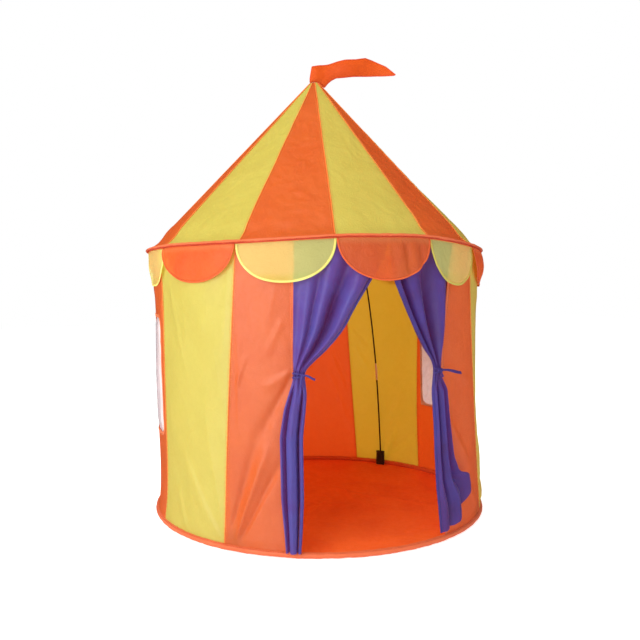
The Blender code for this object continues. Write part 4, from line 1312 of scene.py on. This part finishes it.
def add_pennant():
    """Add the pennant: two layers of cloth, softly filled, waving, with a corded edge."""
    low, high = np.array(PENNANT_LOW).T, np.array(PENNANT_HIGH).T
    up, across = grid(25, 130)
    far = PENNANT_START + PENNANT_LENGTH * across
    bottom, top = np.interp(far, *low), np.interp(far, *high)
    height = bottom + (top - bottom) * up
    ends = np.minimum(far - PENNANT_START, PENNANT_TIP - far) * 0.8
    rim = np.minimum(np.minimum(height - bottom, top - height), ends)
    fill = 0.0045 * np.sqrt(np.clip(rim / 0.016, 0, 1)) * (1 - 0.5 * smooth((far - 0.1) / 0.14))
    fill = fill * (1 + 0.18 * rough(far / 0.03, height / 0.02, 980))
    sway = 0.0045 * np.sin(far / 0.075 * math.pi + 0.4) + 0.0018 * noise(far / 0.028, height / 0.05, 985)
    sway = sway * smooth(far / 0.03)
    outward, aside = direction(PENNANT_AZIMUTH), direction(PENNANT_AZIMUTH + 90)
    front, back = (
        far[..., None] * outward + (sway + side * fill)[..., None] * aside + height[..., None] * UPWARD + LEAN
        for side in (1, -1)
    )
    turned = grid_faces(*far.shape)[:, ::-1]
    layers = [sheet_shape(front, far, height), sheet_shape(back, far, height, turned)]
    flag = add_piece("pennant_cloth", joined(layers), FLAG_CLOTH, nodes=["pennant"])
    edge = np.concatenate([front[0], front[1:-1, -1], front[-1, ::-1], front[-2:0:-1, 0]])
    cord = sweep(evenly(edge, 260), aside, oval(0.0014, 0.0014, 8), closed=True)
    add_piece("pennant_edge", cord, EDGE_CORD)


# Studio
def pale_floor():
    """Return the studio floor's white paint, lit a little from within so that it stays pale far off."""
    material, tree = new_material("pale_floor")
    grain = map_range(tree, noise_texture(tree, coordinates(tree), 3.0), 0.3, 0.7)
    colour = mix_colour(tree, grain, (0.90, 0.90, 0.90), (0.88, 0.88, 0.88))
    inputs = {"Base Color": colour, "Roughness": 0.9, "Emission Color": (1, 1, 1), "Emission Strength": 0.60}
    return finished(material, add_node(tree, "ShaderNodeBsdfPrincipled", inputs).outputs[0])


def add_camera():
    """Add the camera at the photograph's place."""
    camera = bpy.data.objects.new("camera", bpy.data.cameras.new("camera"))
    bpy.context.scene.collection.objects.link(camera)
    camera.data.sensor_width = 36.0
    camera.data.lens = 40.50
    camera.location = (-0.804, -1.9745, 0.651)
    camera.rotation_euler = (math.radians(86.95), 0.0, math.radians(-22.21))
    bpy.context.scene.camera = camera


def add_area_light(name, location, target, size, power, glossy):
    """Add a studio light that faces a point; without glossy it isn't mirrored in a surface."""
    light = bpy.data.lights.new(name, "AREA")
    light.shape = "RECTANGLE"
    light.size, light.size_y = size
    light.energy = power
    lamp = bpy.data.objects.new(name, light)
    lamp.visible_glossy = glossy
    bpy.context.scene.collection.objects.link(lamp)
    lamp.location = location
    lamp.rotation_euler = (Vector(target) - Vector(location)).to_track_quat("-Z", "Y").to_euler()


def add_world():
    """Add the white surroundings: bright to the camera and half as bright to the tent."""
    world = bpy.data.worlds.new("studio")
    world.use_nodes = True
    bpy.context.scene.world = world
    world.cycles_visibility.glossy = False
    tree = world.node_tree
    tree.nodes.clear()
    seen, lit = (
        add_node(tree, "ShaderNodeBackground", {"Color": (1, 1, 1), "Strength": strength}).outputs[0]
        for strength in (1.0, 0.5)
    )
    camera_ray = add_node(tree, "ShaderNodeLightPath", {}).outputs["Is Camera Ray"]
    output = tree.nodes.new("ShaderNodeOutputWorld")
    tree.links.new(mix_shaders(tree, camera_ray, lit, seen), output.inputs[0])


# Lights: name, place, the point that each faces, size, power and whether surfaces mirror it
LIGHTS = (
    ("key", (-2.9, -2.2, 1.7), (0, 0, 0.6), (2.4, 3.0), 87.0, True),
    ("side", (-3.3, 0.4, 1.3), (0, 0, 0.5), (2.0, 2.4), 20.0, False),
    ("top", (-1.2, -0.8, 3.7), (0, 0, 0.9), (2.4, 2.4), 58.0, False),
    ("fill", (2.4, -2.4, 1.6), (0, 0, 0.5), (2.4, 2.4), 22.0, False),
    ("back", (0.6, 2.8, 2.4), (0, 0, 0.5), (2.4, 2.4), 58.0, False),
)


def add_studio():
    """Add the pale floor, the white surroundings and the soft lights."""
    scene = bpy.context.scene
    scene.view_settings.view_transform = "Standard"
    add_world()
    ground = bpy.data.meshes.new("studio_floor")
    ground.from_pydata([(-9, -9, 0), (9, -9, 0), (9, 9, 0), (-9, 9, 0)], [], [(0, 1, 2, 3)])
    floor = bpy.data.objects.new("studio_floor", ground)
    scene.collection.objects.link(floor)
    floor.location = (0, 0, -0.0005)
    floor.visible_glossy = False
    ground.materials.append(pale_floor())
    floor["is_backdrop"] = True
    for light in LIGHTS:
        add_area_light(*light)


add_camera()
add_studio()

eave_hem, base_hem, hem_threads, eave_cord = add_hems()
seam_cord, roof_threads = add_roof_seams()
for place in PLACES:
    gore = add_gore(place)
    width = math.radians(2 * panel_span(place, ROOF)[1]) * ROOF_FOOT_RADIUS
    with_pieces = [eave_hem, eave_cord, seam_cord, roof_threads, hem_threads] if place == "front" else []

wall_cords, door_hems, wall_threads, door_threads = add_wall_seams()
for place in PLACES[1:]:
    wall = add_wall(place)
    low, high = panel_edges(place, np.linspace(WALL_FOOT, WALL_TOP, 50))
    width = math.radians(float(np.mean(high - low))) * WALL_FOOT_RADIUS
    area, with_pieces = width * WALL_HEIGHT, []
    if place in WINDOWS:
        film, binding, threads = add_window(place)
        area -= 4 * WINDOW_HALF_WIDTH * WINDOW_HALF_HEIGHT - (4 - math.pi) * WINDOW_CORNER ** 2
        with_pieces = [binding, threads]
    if place == "front_left_1":
        with_pieces = [wall_cords, wall_threads, door_hems, door_threads]

add_scallops(0, "orange", ORANGE_SCALLOP_RADIUS, ORANGE_SCALLOP, ORANGE_BINDING, RED_THREAD, 0.0026, 0.0023)
add_scallops(
    1, "yellow", YELLOW_SCALLOP_RADIUS, YELLOW_SCALLOP, [YELLOW_BINDING, PAINTED_SHADE_BINDING], PALE_THREAD, 0.0030, 0.0027
)

curtains = [
    add_curtain("curtain_left", -1, LEFT_CURTAIN, LEFT_FOLDS, LIT_PURPLE),
    add_curtain("curtain_right", 1, RIGHT_CURTAIN, RIGHT_FOLDS, PURPLE),
]
ties = [
    add_tie("curtain_tie_left", -1, 25.5, 28.3, ((-0.030, 0.006, 0.004, 0.0026), (0.004, 0.024, 0.002, 0.0028))),
    add_tie("curtain_tie_right", 1, 14.6, 17.1, ((0.072, 0.008, 0.006, 0.0036), (0.010, 0.014, 0.003, 0.0026))),
]

floor_cloth = add_floor()

for place in POLES:
    add_pole(place)
    add_pocket(place)
add_pennant()

hub = bpy.data.objects["apex_hub"]
for material_slot in hub.material_slots:
    material_slot.material = GREY_PLASTIC

low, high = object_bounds()
